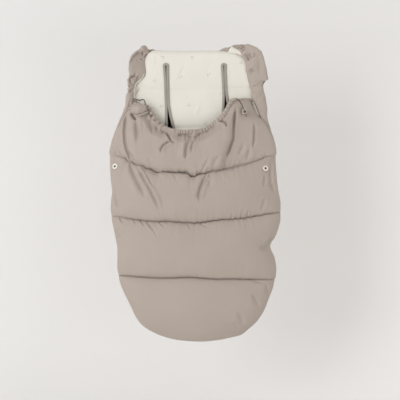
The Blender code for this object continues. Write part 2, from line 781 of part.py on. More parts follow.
add("neckline_tunnel", mesh_of(tunnel, "neckline tunnel"), SHELL, cover_pivot)
tube("drawcord", cord_line, CORD_RADIUS, CORD, cover_pivot)


# The zips' upper stretches: a toothed tape on the roll's side and one on the cover's side


def zip_axes(side):
    """The way down a zip, the way across it to the roll, and its middle at the neckline."""
    out, down = zip_slope(side)
    along = Vector((side * out, 0, -down)).normalized()
    across = Vector((side * down, 0, out)).normalized()
    return along, across, Vector((zip_x(NECK_SIDE, side), ZIP_Y, NECK_SIDE))


def across_section(points, across):
    """Section points given across the zip and out from it."""
    return [across * w + FORWARD * n for w, n in points]


COIL_FAR = COIL_NEAR + COIL_WIDTH
HALF_ZIP = (
    (COIL_NEAR, -COIL_HALF_THICKNESS),
    (COIL_FAR, -COIL_HALF_THICKNESS),
    (COIL_FAR, -TAPE_HALF_THICKNESS),
    (ZIP_HALF, -TAPE_HALF_THICKNESS),
    (ZIP_HALF, TAPE_HALF_THICKNESS),
    (COIL_FAR, TAPE_HALF_THICKNESS),
    (COIL_FAR, COIL_HALF_THICKNESS),
    (COIL_NEAR, COIL_HALF_THICKNESS),
)
SLIDER_IN = COIL_HALF_THICKNESS + GAP
SLIDER_OUT = SLIDER_IN + SLIDER_WALL
SLIDER_NEAR = -SLIDER_WEB / 2
SLIDER_FAR = SLIDER_NEAR + SLIDER_WIDTH
CHANNEL = (
    (SLIDER_NEAR, -SLIDER_OUT),
    (SLIDER_FAR, -SLIDER_OUT),
    (SLIDER_FAR, -SLIDER_IN),
    (SLIDER_WEB / 2, -SLIDER_IN),
    (SLIDER_WEB / 2, SLIDER_IN),
    (SLIDER_FAR, SLIDER_IN),
    (SLIDER_FAR, SLIDER_OUT),
    (SLIDER_NEAR, SLIDER_OUT),
)
BAIL = (
    (-BAIL_LENGTH / 2, -GAP),
    (-BAIL_LENGTH / 2, BAIL_HEIGHT),
    (BAIL_LENGTH / 2, BAIL_HEIGHT),
    (BAIL_LENGTH / 2, -GAP),
    (BAIL_LENGTH / 2 - BAIL_WALL, -GAP),
    (BAIL_LENGTH / 2 - BAIL_WALL, BAIL_HEIGHT - BAIL_WALL),
    (BAIL_WALL - BAIL_LENGTH / 2, BAIL_HEIGHT - BAIL_WALL),
    (BAIL_WALL - BAIL_LENGTH / 2, -GAP),
)


def zip_half(side, word):
    """Both halves of one upper zip."""
    along, across, top = zip_axes(side)
    down = (NECK_SIDE - UPPER_SEAM_SIDE - SEWN_EDGE) / -along.z
    near = extruded(across_section(HALF_ZIP, across), top, along * down)
    add(f"side_zip_tape_{word}", mesh_of(near, "zip tape"), TAPE)
    mirrored = [(-w, n) for w, n in HALF_ZIP]
    far = extruded(across_section(mirrored, across), top, along * down)
    add(f"cover_zip_tape_{word}", mesh_of(far, "zip tape"), TAPE, cover_pivot)


def zip_slider(side, word):
    """The slider round the roll's row of teeth, with the bail that holds its pull."""
    along, across, top = zip_axes(side)
    start = top + along * SLIDER_DOWN
    middle = start + along * (SLIDER_LENGTH / 2)
    run = pivot(f"zip_slide_{word}", middle)
    channel = extruded(across_section(CHANNEL, across), start, along * SLIDER_LENGTH)
    slider = add(f"zip_slider_{word}", mesh_of(channel, "zip slider"), METAL, run)
    base = middle + FORWARD * SLIDER_OUT
    base += across * ((SLIDER_NEAR + SLIDER_FAR - BAIL_WIDTH) / 2)
    section = [along * t + FORWARD * n for t, n in BAIL]
    arch = extruded(section, base, across * BAIL_WIDTH)
    arch = add(f"bail_{word}", mesh_of(arch, "bail"), METAL, run, collection=cutters)
    cut(slider, arch, "UNION")
    return run


def zip_pull(side, word, run):
    """The flat pull, whose bar turns in the slider's bail."""
    along, across, top = zip_axes(side)
    axis = top + along * (SLIDER_DOWN + SLIDER_LENGTH / 2)
    axis += FORWARD * (SLIDER_OUT + (BAIL_HEIGHT - BAIL_WALL) / 2)
    turn_at = pivot(f"zip_pull_axis_{word}", axis, run)
    half = PULL_BAR / 2
    outline = (
        (SLIDER_NEAR, -half),
        (SLIDER_FAR, -half),
        (SLIDER_FAR, PULL_LENGTH - half),
        (SLIDER_NEAR, PULL_LENGTH - half),
    )
    section = [across * w + along * t for w, t in outline]
    start = axis - FORWARD * (PULL_THICKNESS / 2)
    tab = extruded(section, start, FORWARD * PULL_THICKNESS)
    pull = add(f"zip_pull_{word}", mesh_of(tab, "zip pull"), LOCK, turn_at)
    opening = (
        (SLIDER_NEAR + PULL_RAIL, half),
        (SLIDER_FAR - PULL_RAIL, half),
        (SLIDER_FAR - PULL_RAIL, PULL_WINDOW),
        (SLIDER_NEAR + PULL_RAIL, PULL_WINDOW),
    )
    section = [across * w + along * t for w, t in opening]
    hole = extruded(section, start - FORWARD * PULL_THICKNESS, FORWARD * PULL_THICKNESS * 3)
    hole = add(f"pull_window_{word}", mesh_of(hole, "window"), None, turn_at, collection=cutters)
    cut(pull, hole)


for side, word in ((LEFT, "left"), (RIGHT, "right")):
    zip_half(side, word)
    zip_pull(side, word, zip_slider(side, word))


# The zips' closed lower stretches down the sides, and the band round the foot


def rim_places(side):
    """Points down one side of the rim, with the way out."""
    heights = np.linspace(UPPER_SEAM_SIDE - SEAM_GAP, FOOT_SEAM_SIDE + SEAM_GAP, SIDE_ZIP_STEPS)
    return [(Vector((side * half_width(z, side), 0, z)), Vector((side, 0, 0))) for z in heights]


def foot_places():
    """Points round the rim of the foot, with the way out."""
    path = [(-1.0, s) for s in FOOT_BAND_SHARES]
    path += [(u, 1.0) for u in both_sides(FOOT_BAND_SHARES[:0:-1])]
    path += [(1.0, s) for s in reversed(FOOT_BAND_SHARES)]
    places = []
    for u, s in path:
        across, down = disc(u, s)
        width = half_width(FOOT_SEAM_SIDE, LEFT if u < 0 else RIGHT)
        point = Vector((width * across, 0, FOOT_SEAM_SIDE - SEAM_GAP - FOOT_LENGTH * down))
        out = Vector((across / width, 0, -down / FOOT_LENGTH)).normalized()
        if not places or (point - places[-1][0]).length > SEAM_GAP:
            places.append((point, out))
    return places


STRIP_BACK, STRIP_FRONT = RIM_Y - GAP, COVER_EDGE_Y + GAP
STRIP_MIDDLE = (STRIP_BACK + STRIP_FRONT) / 2
BAND = ((-ZIP_STRIP, STRIP_BACK), (0, STRIP_BACK), (0, STRIP_FRONT), (-ZIP_STRIP, STRIP_FRONT))
CLOSED_ZIP = (
    (-ZIP_STRIP, STRIP_BACK),
    (0, STRIP_BACK),
    (0, STRIP_MIDDLE + ZIP_RIDGE_HALF),
    (ZIP_RIDGE, STRIP_MIDDLE + ZIP_RIDGE_HALF / 2),
    (ZIP_RIDGE, STRIP_MIDDLE - ZIP_RIDGE_HALF / 2),
    (0, STRIP_MIDDLE - ZIP_RIDGE_HALF),
    (0, STRIP_FRONT),
    (-ZIP_STRIP, STRIP_FRONT),
)


def rim_strip(name, places, section, material):
    """A strip sewn between the rims of the back and the front."""
    rings = [[p + out * w + Vector((0, y, 0)) for w, y in section] for p, out in places]
    add(name, mesh_of(loft_rings(rings), name), material)


rim_strip("closed_zip_left", rim_places(LEFT), CLOSED_ZIP, TAPE)
rim_strip("closed_zip_right", rim_places(RIGHT), CLOSED_ZIP, TAPE)
rim_strip("foot_band", foot_places(), BAND, SHELL)


# The press studs beside the upper seam


def outside(place, u, s):
    """The outer surface of a cover."""
    point, out, thick = place(u, s)
    return point + out * thick


def seat_on(place, shares, radius, axis=None):
    """Where a round fitting rests on a cover, clear of the cloth under it, and the way out."""
    u, s = shares
    step = PROBE_SHARE / 10
    across = outside(place, u + step, s) - outside(place, u - step, s)
    down = outside(place, u, s + step) - outside(place, u, s - step)
    normal = across.cross(down).normalized()
    normal = normal if normal.y < 0 else -normal
    axis = axis or normal
    centre = outside(place, u, s)
    rise = 0.0
    for du in np.linspace(-PROBE_SHARE, PROBE_SHARE, 25):
        for ds in np.linspace(-PROBE_SHARE, PROBE_SHARE, 25):
            near_u, near_s = min(1.0, max(-1.0, u + du)), min(1.0, max(0.0, s + ds))
            off = outside(place, near_u, near_s) - centre
            if (off - axis * off.dot(axis)).length < radius:
                rise = max(rise, off.dot(axis))
    return centre + axis * (rise + GAP), axis


RING = (
    (STUD_BORE, 0),
    (STUD_RADIUS - STUD_EDGE, 0),
    (STUD_RADIUS, STUD_EDGE),
    (STUD_RADIUS, STUD_HEIGHT - STUD_EDGE),
    (STUD_RADIUS - STUD_EDGE, STUD_HEIGHT),
    (STUD_BORE + STUD_EDGE, STUD_HEIGHT),
    (STUD_BORE, STUD_HEIGHT - STUD_EDGE),
    (STUD_BORE, 0),
)
CUP_RADIUS = STUD_BORE - GAP
CUP = (
    (0, 0),
    (CUP_RADIUS, 0),
    (CUP_RADIUS, STUD_HEIGHT - STUD_EDGE),
    (CUP_RADIUS - SOCKET_WALL, STUD_HEIGHT - STUD_EDGE),
    (CUP_RADIUS - SOCKET_WALL, SOCKET_FLOOR),
    (0, SOCKET_FLOOR),
)
for word, shares in (("left", STUD_LEFT_SHARES), ("right", STUD_RIGHT_SHARES)):
    seat, axis = seat_on(middle_cover, shares, STUD_RADIUS)
    where = Matrix.Translation(seat) @ axis.to_track_quat("Z", "Y").to_matrix().to_4x4()
    add(f"press_stud_ring_{word}", mesh_of(turned(RING, 24), "stud ring"), STUD, where=where)
    add(f"press_stud_socket_{word}", mesh_of(turned(CUP), "stud socket"), SOCKET, where=where)


# The cord lock at the right end of the drawcord: barrel, sprung plunger and spring

lock_seat, _ = seat_on(upper_cover, LOCK_SHARES, LOCK_RADIUS, FORWARD)
lock_frame = Matrix.Translation(lock_seat) @ Matrix.Rotation(math.pi / 2, 4, "X")
hole_at = lock_seat + FORWARD * LOCK_HOLE_DEPTH
along_right, across_right, _ = zip_axes(RIGHT)
cord_way = along_right


def cord_hole(name, half_across, low, high):
    """A cutter along the cord's way through the lock, between two heights of the barrel."""
    sideways = cord_way.cross(FORWARD)
    corners = ((-half_across, low), (half_across, low), (half_across, high), (-half_across, high))
    section = [sideways * w + FORWARD * h for w, h in corners]
    start = lock_seat - cord_way * 2 * LOCK_RADIUS
    hole = extruded(section, start, cord_way * 4 * LOCK_RADIUS)
    return add(name, mesh_of(hole, name), None, collection=cutters)


BARREL = (
    (0, 0),
    (LOCK_RADIUS - LOCK_EDGE, 0),
    (LOCK_RADIUS, LOCK_EDGE),
    (LOCK_RADIUS, LOCK_LENGTH - LOCK_EDGE),
    (LOCK_RADIUS - LOCK_EDGE, LOCK_LENGTH),
    (LOCK_BORE, LOCK_LENGTH),
    (LOCK_BORE, LOCK_FLOOR),
    (0, LOCK_FLOOR),
)
barrel = mesh_of(turned(BARREL), "cord lock barrel")
barrel = add("cord_lock_barrel", barrel, LOCK, cover_pivot, lock_frame)
low, high = LOCK_HOLE_DEPTH - LOCK_HOLE, LOCK_HOLE_DEPTH + LOCK_HOLE
cut(barrel, cord_hole("barrel_hole", LOCK_HOLE, low, high))

plunger_radius = LOCK_BORE - GAP
plunger_top = LOCK_LENGTH + PLUNGER_PROUD
PLUNGER = (
    (0, PLUNGER_END),
    (plunger_radius, PLUNGER_END),
    (plunger_radius, plunger_top - PLUNGER_EDGE),
    (plunger_radius - PLUNGER_EDGE, plunger_top),
    (0, plunger_top),
)
press_at = pivot("cord_lock_press", lock_seat, cover_pivot)
plunger = mesh_of(turned(PLUNGER), "cord lock plunger")
plunger = add("cord_lock_plunger", plunger, SOCKET, press_at, lock_frame)
cut(plunger, cord_hole("plunger_hole", LOCK_HOLE, low, high + PLUNGER_TRAVEL))

spring_low = LOCK_FLOOR + SPRING_WIRE + GAP
spring_high = PLUNGER_END - SPRING_WIRE - GAP
spring_points = []
for k in range(SPRING_TURNS * 10 + 1):
    angle = 2 * math.pi * k / 10
    height = spring_low + (spring_high - spring_low) * k / (SPRING_TURNS * 10)
    local = Vector((SPRING_RADIUS * math.cos(angle), SPRING_RADIUS * math.sin(angle), height))
    spring_points.append(lock_frame @ local)
tube("cord_lock_spring", spring_points, SPRING_WIRE, STEEL, cover_pivot, sides=1)


# The drawcord's two ends: a loop back to the left corner, and the run into the cord lock

ahead = way_up(cord_line, 0).cross(FORWARD)
start = cord_line[0] - ahead * EASY_GAP
corner = neckline[1]
corner_top = corner + Vector((0, 0, CORD_RADIUS + GAP))
loop_route = [
    start,
    start - ahead * CORD_STEP * 2,
    start + Vector((-0.006, 0.0015, 0.0155)),
    start + Vector((-0.0115, 0.004, 0.0205)),
    corner_top + Vector((0.001, 0.000, 0.001)),
]
tube("drawcord_loop_left", smooth_line(loop_route, CORD_STEP), CORD_RADIUS, CORD, cover_pivot)
ahead = way_up(cord_line, TUNNEL_RINGS - 1).cross(FORWARD)
start = cord_line[-1] + ahead * EASY_GAP
entry = hole_at - cord_way * LOCK_RADIUS
leave = hole_at + cord_way * (LOCK_RADIUS + KNOT_RADIUS)
end_route = [
    start,
    start + ahead * CORD_STEP * 2,
    start + Vector((0.0125, -0.004, 0.0125)),
    start + Vector((0.026, -0.009, 0.0125)),
    entry + Vector((-0.0085, 0.001, 0.0195)),
    entry,
    hole_at,
    leave,
]
tube("drawcord_end_right", smooth_line(end_route, CORD_STEP), CORD_RADIUS, CORD, cover_pivot)
knot = bmesh.new()
bmesh.ops.create_uvsphere(knot, u_segments=12, v_segments=8, radius=KNOT_RADIUS)
bmesh.ops.translate(knot, verts=knot.verts, vec=leave + cord_way * (KNOT_RADIUS + GAP))
add("drawcord_knot", mesh_of(knot, "knot"), CORD, cover_pivot)
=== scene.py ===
"""A padded pushchair footmuff, hanging by the pocket at the top of its back.

Places that follow the photograph are given in its pixels. The frame is the CAD model's: metres,
+Z up, the front towards -Y.
"""

import math

import bmesh
import bpy
import numpy as np
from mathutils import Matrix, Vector


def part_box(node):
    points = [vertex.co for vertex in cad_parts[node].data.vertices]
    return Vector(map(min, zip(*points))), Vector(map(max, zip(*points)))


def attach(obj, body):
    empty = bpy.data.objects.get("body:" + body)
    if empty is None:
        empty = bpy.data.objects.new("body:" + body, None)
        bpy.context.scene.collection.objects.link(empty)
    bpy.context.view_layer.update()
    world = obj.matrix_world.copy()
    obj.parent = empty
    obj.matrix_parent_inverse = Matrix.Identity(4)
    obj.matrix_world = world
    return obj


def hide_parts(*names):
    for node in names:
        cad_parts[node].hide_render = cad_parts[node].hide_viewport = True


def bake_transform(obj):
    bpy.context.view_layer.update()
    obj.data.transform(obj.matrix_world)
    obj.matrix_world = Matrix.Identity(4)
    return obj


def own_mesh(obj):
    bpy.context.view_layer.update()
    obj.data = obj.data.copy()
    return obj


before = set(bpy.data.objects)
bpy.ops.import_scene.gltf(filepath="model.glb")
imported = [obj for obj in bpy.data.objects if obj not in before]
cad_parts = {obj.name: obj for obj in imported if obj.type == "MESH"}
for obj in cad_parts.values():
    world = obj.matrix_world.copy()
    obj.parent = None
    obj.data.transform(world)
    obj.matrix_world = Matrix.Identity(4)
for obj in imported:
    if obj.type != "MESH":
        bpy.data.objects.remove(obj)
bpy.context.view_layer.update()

# The photograph's frame: its middle in pixels, metres a pixel on the plane of the bag's rim, the
# camera's distance from that plane, and what lies in the middle
CENTRE = 200
PIXEL = 0.003
PLANE = -0.05
DISTANCE = 3.4
MIDDLE = Vector((0.0138, PLANE, -0.429))
LEFT, RIGHT = -1, 1
FRONT = np.array((0.0, -1.0, 0.0))
SENSOR = 36


def seen(points):
    """Where points show in the photograph, in pixels."""
    reach = DISTANCE + points[..., 1] - PLANE
    scale = DISTANCE / reach / PIXEL
    across = CENTRE + (points[..., 0] - MIDDLE.x) * scale
    down = CENTRE - (points[..., 2] - MIDDLE.z) * scale
    return across, down


def points_at(px, py, y):
    """The points at given depths that show at given pixels."""
    size = PIXEL * (DISTANCE + y - PLANE) / DISTANCE
    return np.stack([MIDDLE.x + (px - CENTRE) * size, y, MIDDLE.z - (py - CENTRE) * size], axis=-1)


def at_pixel(px, py, y=PLANE):
    """The one point at a depth that shows at a pixel."""
    return Vector(points_at(px, py, y))


# Camera and lights

lens = bpy.data.cameras.new("camera")
lens.sensor_width = SENSOR
lens.lens = SENSOR * DISTANCE / (2 * CENTRE * PIXEL)
camera = bpy.data.objects.new("camera", lens)
bpy.context.scene.collection.objects.link(camera)
camera.location = (MIDDLE.x, PLANE - DISTANCE, MIDDLE.z)
camera.rotation_euler = (math.pi / 2, 0, 0)
bpy.context.scene.camera = camera
bpy.context.scene.view_settings.view_transform = "Standard"


def lamp(name, place, aim, size, watts):
    """A soft square light."""
    light = bpy.data.lights.new(name, "AREA")
    light.size = size
    light.energy = watts
    obj = bpy.data.objects.new(name, light)
    bpy.context.scene.collection.objects.link(obj)
    obj.location = place
    obj.rotation_euler = (Vector(aim) - Vector(place)).to_track_quat("-Z", "Y").to_euler()


lamp("key", (-3.2, -3.5, 0.25), (0, 0, -0.6), 2.5, 83)
lamp("fill", (1.7, -2.7, -1.5), (0, 0, -0.9), 2.4, 21)

world = bpy.data.worlds.new("world")
bpy.context.scene.world = world
world.use_nodes = True
world.node_tree.nodes["Background"].inputs["Color"].default_value = (0.95, 0.93, 0.91, 1)
world.node_tree.nodes["Background"].inputs["Strength"].default_value = 0.70


# Materials: woven and knitted cloth, tapes, cord, plastic and metal, all on the pieces' own UVs


class Look:
    """A material being put together from nodes."""

    def __init__(self, name, roughness, metallic=0.0, sheen=0.0, coat=0.0):
        self.material = bpy.data.materials.new(name)
        self.material.use_nodes = True
        self.nodes = self.material.node_tree.nodes
        self.links = self.material.node_tree.links
        self.shader = self.nodes["Principled BSDF"]
        self.shader.inputs["Roughness"].default_value = roughness
        self.shader.inputs["Metallic"].default_value = metallic
        self.shader.inputs["Sheen Weight"].default_value = sheen
        self.shader.inputs["Coat Weight"].default_value = coat
        place = self.nodes.new("ShaderNodeTexCoord")
        self.uv = place.outputs["UV"]
        self.place = place.outputs["Object"]

    def node(self, kind, inputs=None, **settings):
        """Adds a node, with its settings and its inputs set or linked."""
        made = self.nodes.new(kind)
        for key, value in settings.items():
            setattr(made, key, value)
        for key, value in (inputs or {}).items():
            socket = made.inputs[key]
            if isinstance(value, bpy.types.NodeSocket):
                self.links.new(value, socket)
            else:
                socket.default_value = value
        return made

    def math(self, operation, a, b=0.0):
        """One step of arithmetic."""
        return self.node("ShaderNodeMath", {0: a, 1: b}, operation=operation).outputs[0]

    def split(self, vector):
        """The three parts of a vector."""
        return self.node("ShaderNodeSeparateXYZ", {0: vector}).outputs

    def noise(self, vector, scale, detail=3.0):
        """Smooth noise from 0 to 1."""
        inputs = {"Vector": vector, "Scale": scale, "Detail": detail, "Roughness": 0.55}
        return self.node("ShaderNodeTexNoise", inputs).outputs[0]

    def mix(self, share, first, second):
        """A colour between two."""
        made = self.node("ShaderNodeMix", data_type="RGBA")
        for socket, value in ((made.inputs[0], share), (made.inputs[6], first), (made.inputs[7], second)):
            if isinstance(value, bpy.types.NodeSocket):
                self.links.new(value, socket)
            else:
                socket.default_value = (*value, 1) if isinstance(value, tuple) else value
        return made.outputs[2]

    def ranged(self, value, low, high):
        """0 to 1 stretched to a range."""
        inputs = {0: value, 3: low, 4: high}
        return self.node("ShaderNodeMapRange", inputs).outputs[0]

    def colour(self, value):
        """Sets or links the base colour."""
        if isinstance(value, tuple):
            self.shader.inputs["Base Color"].default_value = (*value, 1)
        else:
            self.links.new(value, self.shader.inputs["Base Color"])

    def rough(self, value):
        """Links the roughness."""
        self.links.new(value, self.shader.inputs["Roughness"])

    def bump(self, height, depth):
        """Bump from a height of 0 to 1 that is this many metres deep."""
        made = self.node("ShaderNodeBump", {"Height": height, "Distance": depth, "Strength": 1.0})
        self.links.new(made.outputs[0], self.shader.inputs["Normal"])

    def weave(self, threads):
        """Plain weave, from -1 to 1, with this many threads a metre each way."""
        u, v, _ = self.split(self.uv)
        warp, weft = (self.math("SINE", self.math("MULTIPLY", way, threads * 2 * math.pi)) for way in (u, v))
        return self.math("MULTIPLY", warp, weft)


def shades(colour, share):
    """A colour made a share darker and a share lighter."""
    return tuple(c * (1 - share) for c in colour), tuple(min(1.0, c * (1 + share)) for c in colour)


def woven(name, colour, threads, roughness, depth, sheen=0.25):
    """Plain woven cloth with slight unevenness of tone."""
    look = Look(name, roughness, sheen=sheen)
    look.shader.inputs["Sheen Roughness"].default_value = 0.4
    weave = look.math("ADD", look.math("MULTIPLY", look.weave(threads), 0.5), 0.5)
    patches = look.noise(look.place, 9.0, 4.0)
    slub = look.noise(look.place, 420.0, 2.0)
    tone = look.math("ADD", look.math("MULTIPLY", patches, 0.7), look.math("MULTIPLY", slub, 0.3))
    look.colour(look.mix(tone, *shades(colour, 0.06)))
    look.rough(look.ranged(slub, roughness - 0.05, roughness + 0.05))
    fuzz = look.math("MULTIPLY", look.noise(look.place, 160.0, 3.0), 0.8)
    look.bump(look.math("ADD", look.math("MULTIPLY", weave, 0.35), fuzz), depth)
    return look.material


SHELL_COLOUR = (0.435, 0.372, 0.325)
shell_cloth = woven("shell_cloth", SHELL_COLOUR, 900, 0.62, 0.0003)
binding_cloth = woven("binding_tape", (0.36, 0.335, 0.297), 700, 0.75, 0.0004)
# The slot walls' near-black cloth is painted shade: it darkens the slots' insides where shade falls.
slot_shade_cloth = woven("slot_wall_painted_shade", (0.055, 0.045, 0.038), 700, 0.85, 0.0004, sheen=0.0)
elastic_cloth = woven("elastic", (0.40, 0.355, 0.31), 500, 0.8, 0.0005)
cord_dark = woven("corner_tape", (0.10, 0.085, 0.072), 700, 0.8, 0.0003, sheen=0.0)
knot_cloth = woven("cord_knot", (0.24, 0.20, 0.17), 900, 0.8, 0.0004)
zip_cloth = woven("zip_tape", (0.35, 0.30, 0.262), 800, 0.8, 0.0004)


def lining_look():
    """Soft cream cotton with small scattered sprigs of three dots."""
    pitch, reach, radius, strength = 0.082, 0.045, 0.019, 0.62
    look = Look("lining_cloth", 0.85, sheen=0.15)
    u, v, _ = look.split(look.uv)
    rows = look.math("DIVIDE", v, pitch)
    row = look.math("FLOOR", rows)
    shift = look.math("MULTIPLY", look.math("MODULO", look.math("ABSOLUTE", row), 2.0), 0.5)
    columns = look.math("ADD", look.math("DIVIDE", u, pitch), shift)
    column = look.math("FLOOR", columns)
    cell = look.node("ShaderNodeCombineXYZ", {0: column, 1: row})
    chance = look.node("ShaderNodeTexWhiteNoise", {"Vector": cell.outputs[0]})
    red, green, blue = look.node("ShaderNodeSeparateColor", {0: chance.outputs[1]}).outputs
    x = look.math("SUBTRACT", look.math("SUBTRACT", columns, column), look.ranged(red, 0.3, 0.7))
    y = look.math("SUBTRACT", look.math("SUBTRACT", rows, row), look.ranged(green, 0.3, 0.7))
    ink = None
    for k in range(3):
        turn = look.math("ADD", look.math("MULTIPLY", blue, 6.28), 2 * math.pi * k / 3)
        dx = look.math("SUBTRACT", x, look.math("MULTIPLY", look.math("COSINE", turn), reach))
        dy = look.math("SUBTRACT", y, look.math("MULTIPLY", look.math("SINE", turn), reach))
        off = look.math("ADD", look.math("MULTIPLY", dx, dx), look.math("MULTIPLY", dy, dy))
        dot = look.math("LESS_THAN", off, radius**2)
        ink = dot if ink is None else look.math("MAXIMUM", ink, dot)
    patches = look.noise(look.place, 14.0, 4.0)
    cream = look.mix(patches, (0.800, 0.770, 0.690), (0.850, 0.825, 0.755))
    look.colour(look.mix(look.math("MULTIPLY", ink, strength), cream, (0.24, 0.22, 0.19)))
    knit = look.math("ADD", look.math("MULTIPLY", look.weave(650), 0.25), look.noise(look.place, 260.0, 3.0))
    look.bump(knit, 0.00045)
    return look.material


lining_cloth = lining_look()


def plastic_look(name, colour, roughness):
    """Moulded plastic with a fine grain."""
    look = Look(name, roughness, coat=0.05)
    tone = look.noise(look.place, 60.0, 3.0)
    look.colour(look.mix(tone, *shades(colour, 0.05)))
    look.rough(look.ranged(look.noise(look.place, 900.0), roughness - 0.08, roughness + 0.08))
    look.bump(look.noise(look.place, 2400.0), 0.00004)
    return look.material


def metal_look(name, colour, roughness):
    """Plated metal with fine scratches."""
    look = Look(name, roughness, metallic=1.0)
    x, y, z = look.split(look.place)
    stretched = look.node("ShaderNodeCombineXYZ", {0: x, 1: y, 2: look.math("MULTIPLY", z, 0.05)})
    scratches = look.noise(stretched.outputs[0], 3000.0, 4.0)
    look.colour(look.mix(scratches, tuple(c * 0.9 for c in colour), colour))
    look.rough(look.ranged(scratches, roughness - 0.06, roughness + 0.12))
    return look.material


pull_plastic = plastic_look("moulded_plastic", (0.45, 0.39, 0.34), 0.5)
lock_plastic = plastic_look("lock_plastic", (0.50, 0.45, 0.40), 0.45)
coil_plastic = plastic_look("zip_coil", (0.33, 0.285, 0.25), 0.42)
stud_plastic = plastic_look("stud_plastic", (0.78, 0.73, 0.66), 0.4)
nickel = metal_look("nickel", (0.50, 0.47, 0.43), 0.36)
dark_metal = metal_look("socket_metal", (0.16, 0.13, 0.11), 0.4)
steel = metal_look("spring_steel", (0.55, 0.55, 0.55), 0.3)
stud_dark = plastic_look("stud_socket", (0.050, 0.038, 0.032), 0.45)


def cord_look():
    """Round braided cord, on the tube's own UVs."""
    look = Look("cord", 0.8)
    u, v, _ = look.split(look.uv)
    run, turn = look.math("MULTIPLY", u, 2200.0), look.math("MULTIPLY", v, 25.0)
    one, two = (look.math("SINE", look.math(way, run, turn)) for way in ("ADD", "SUBTRACT"))
    braid = look.math("MAXIMUM", one, two)
    # The braid's grooves are painted darker than the strands' tops, as painted shade between the strands.
    look.colour(look.mix(look.ranged(braid, 0.2, 1.0), (0.07, 0.055, 0.045), (0.15, 0.125, 0.105)))
    look.bump(braid, 0.0003)
    return look.material


cord_cloth = cord_look()


# Helpers: grids of points made into cloth, and how cloth is creased


NOISE_SIZE = 64


def eased(share):
    """A share of 0 to 1 that starts and ends softly."""
    return share * share * (3 - 2 * share)


def unit(vectors):
    """The vectors at a length of one."""
    return vectors / np.maximum(np.linalg.norm(vectors, axis=-1, keepdims=True), 1e-12)


def run_along(path):
    """How far along a line each of its points lies."""
    return np.concatenate([[0], np.cumsum(np.linalg.norm(np.diff(path, axis=0), axis=1))])


def ends_fade(t, rate, power=0.5):
    """0 at both ends of 0 to 1, and 1 a little way in."""
    return np.clip(np.minimum(t, 1 - t) * rate, 0, 1) ** power


def crowded(count, power):
    """Places from -1 to 1, closer together towards both ends."""
    even = np.linspace(-1, 1, count)
    return np.sign(even) * np.abs(even) ** power


def noise_grid(x, y, seed):
    """Smooth noise from -1 to 1 on a unit lattice, sampled at any places."""
    table = np.random.default_rng(seed).uniform(-1, 1, (NOISE_SIZE, NOISE_SIZE))
    i, j = np.floor(x).astype(int), np.floor(y).astype(int)
    fx, fy = x - i, y - j
    fx, fy = eased(fx), eased(fy)

    def value(a, b):
        """The table's value at whole places, repeated for ever."""
        return table[a % NOISE_SIZE, b % NOISE_SIZE]

    low = value(i, j) * (1 - fx) + value(i + 1, j) * fx
    high = value(i, j + 1) * (1 - fx) + value(i + 1, j + 1) * fx
    return low * (1 - fy) + high * fy


def ridges(x, y, seed):
    """Sharp-creased noise: 0 in the creases, up to 1 between them."""
    return np.abs(noise_grid(x, y, seed)) ** 0.8


def blurred(values, kernel):
    """Values smoothed by a kernel, their ends carried on as they run."""
    pad = len(kernel) // 2
    before, after = 2 * values[0] - values[pad:0:-1], 2 * values[-1] - values[-2:-pad - 2:-1]
    padded = np.concatenate([before, values, after])
    return np.convolve(padded, kernel / kernel.sum(), "valid")


def smooth_rows(table, spacing, blur):
    """A table of (place, value) rows, smoothed, as two arrays."""
    table = np.array(table, float)
    places = np.arange(table[0, 0], table[-1, 0] + spacing, spacing)
    reach = int(4 * blur / spacing)
    kernel = np.exp(-0.5 * (np.arange(-reach, reach + 1) * spacing / blur) ** 2)
    return places, blurred(np.interp(places, table[:, 0], table[:, 1]), kernel)


def normals(points):
    """The way out from a grid of points, towards the side that its rows and columns turn to."""
    across = np.gradient(points, axis=1)
    down = np.gradient(points, axis=0)
    return unit(np.cross(down, across))


# A fold's shoulder beside its valley: how far off it lies and how wide it is in widths, and its
# height as a share of the valley's depth
SHOULDER_OFF, SHOULDER_WIDTH, SHOULDER_HEIGHT = 2.4, 1.7, 0.55


def crease(px, py, line, width, depth, lean, ends):
    """How far a crease along a line of pixels lifts (+) or sinks (-) the cloth."""
    line = np.array(line, float)
    steps = np.linalg.norm(np.diff(line, axis=0), axis=1)
    best, side, along = np.full(px.shape, np.inf), np.zeros(px.shape), np.zeros(px.shape)
    run = 0.0
    first = (line[1] - line[0]) / steps[0]
    ahead = (px - line[0, 0]) * first[0] + (py - line[0, 1]) * first[1]
    for a, b, step in zip(line, line[1:], steps):
        d = (b - a) / step
        t = np.clip((px - a[0]) * d[0] + (py - a[1]) * d[1], 0, step)
        ox, oy = px - a[0] - d[0] * t, py - a[1] - d[1] * t
        off = np.hypot(ox, oy)
        near = off < best
        best = np.where(near, off, best)
        side = np.where(near, ox * -d[1] + oy * d[0], side)
        along = np.where(near, (run + t) / steps.sum(), along)
        run += step
    fade = eased(np.clip((np.minimum(along, 1 - along) if ends > 0 else 1 - along) / abs(ends), 0, 1))
    if ends < 0:
        fade = fade * np.clip(ahead / 0.8, 0, 1)
    width = width * (0.45 + 0.55 * fade)
    valley = np.exp(-(best / width) ** 1.4)
    signed = np.where(side < 0, -best, best)
    shoulder = np.exp(-((signed - lean * SHOULDER_OFF * width) / (SHOULDER_WIDTH * width)) ** 2) * abs(lean)
    return depth * fade * (-valley + SHOULDER_HEIGHT * shoulder)


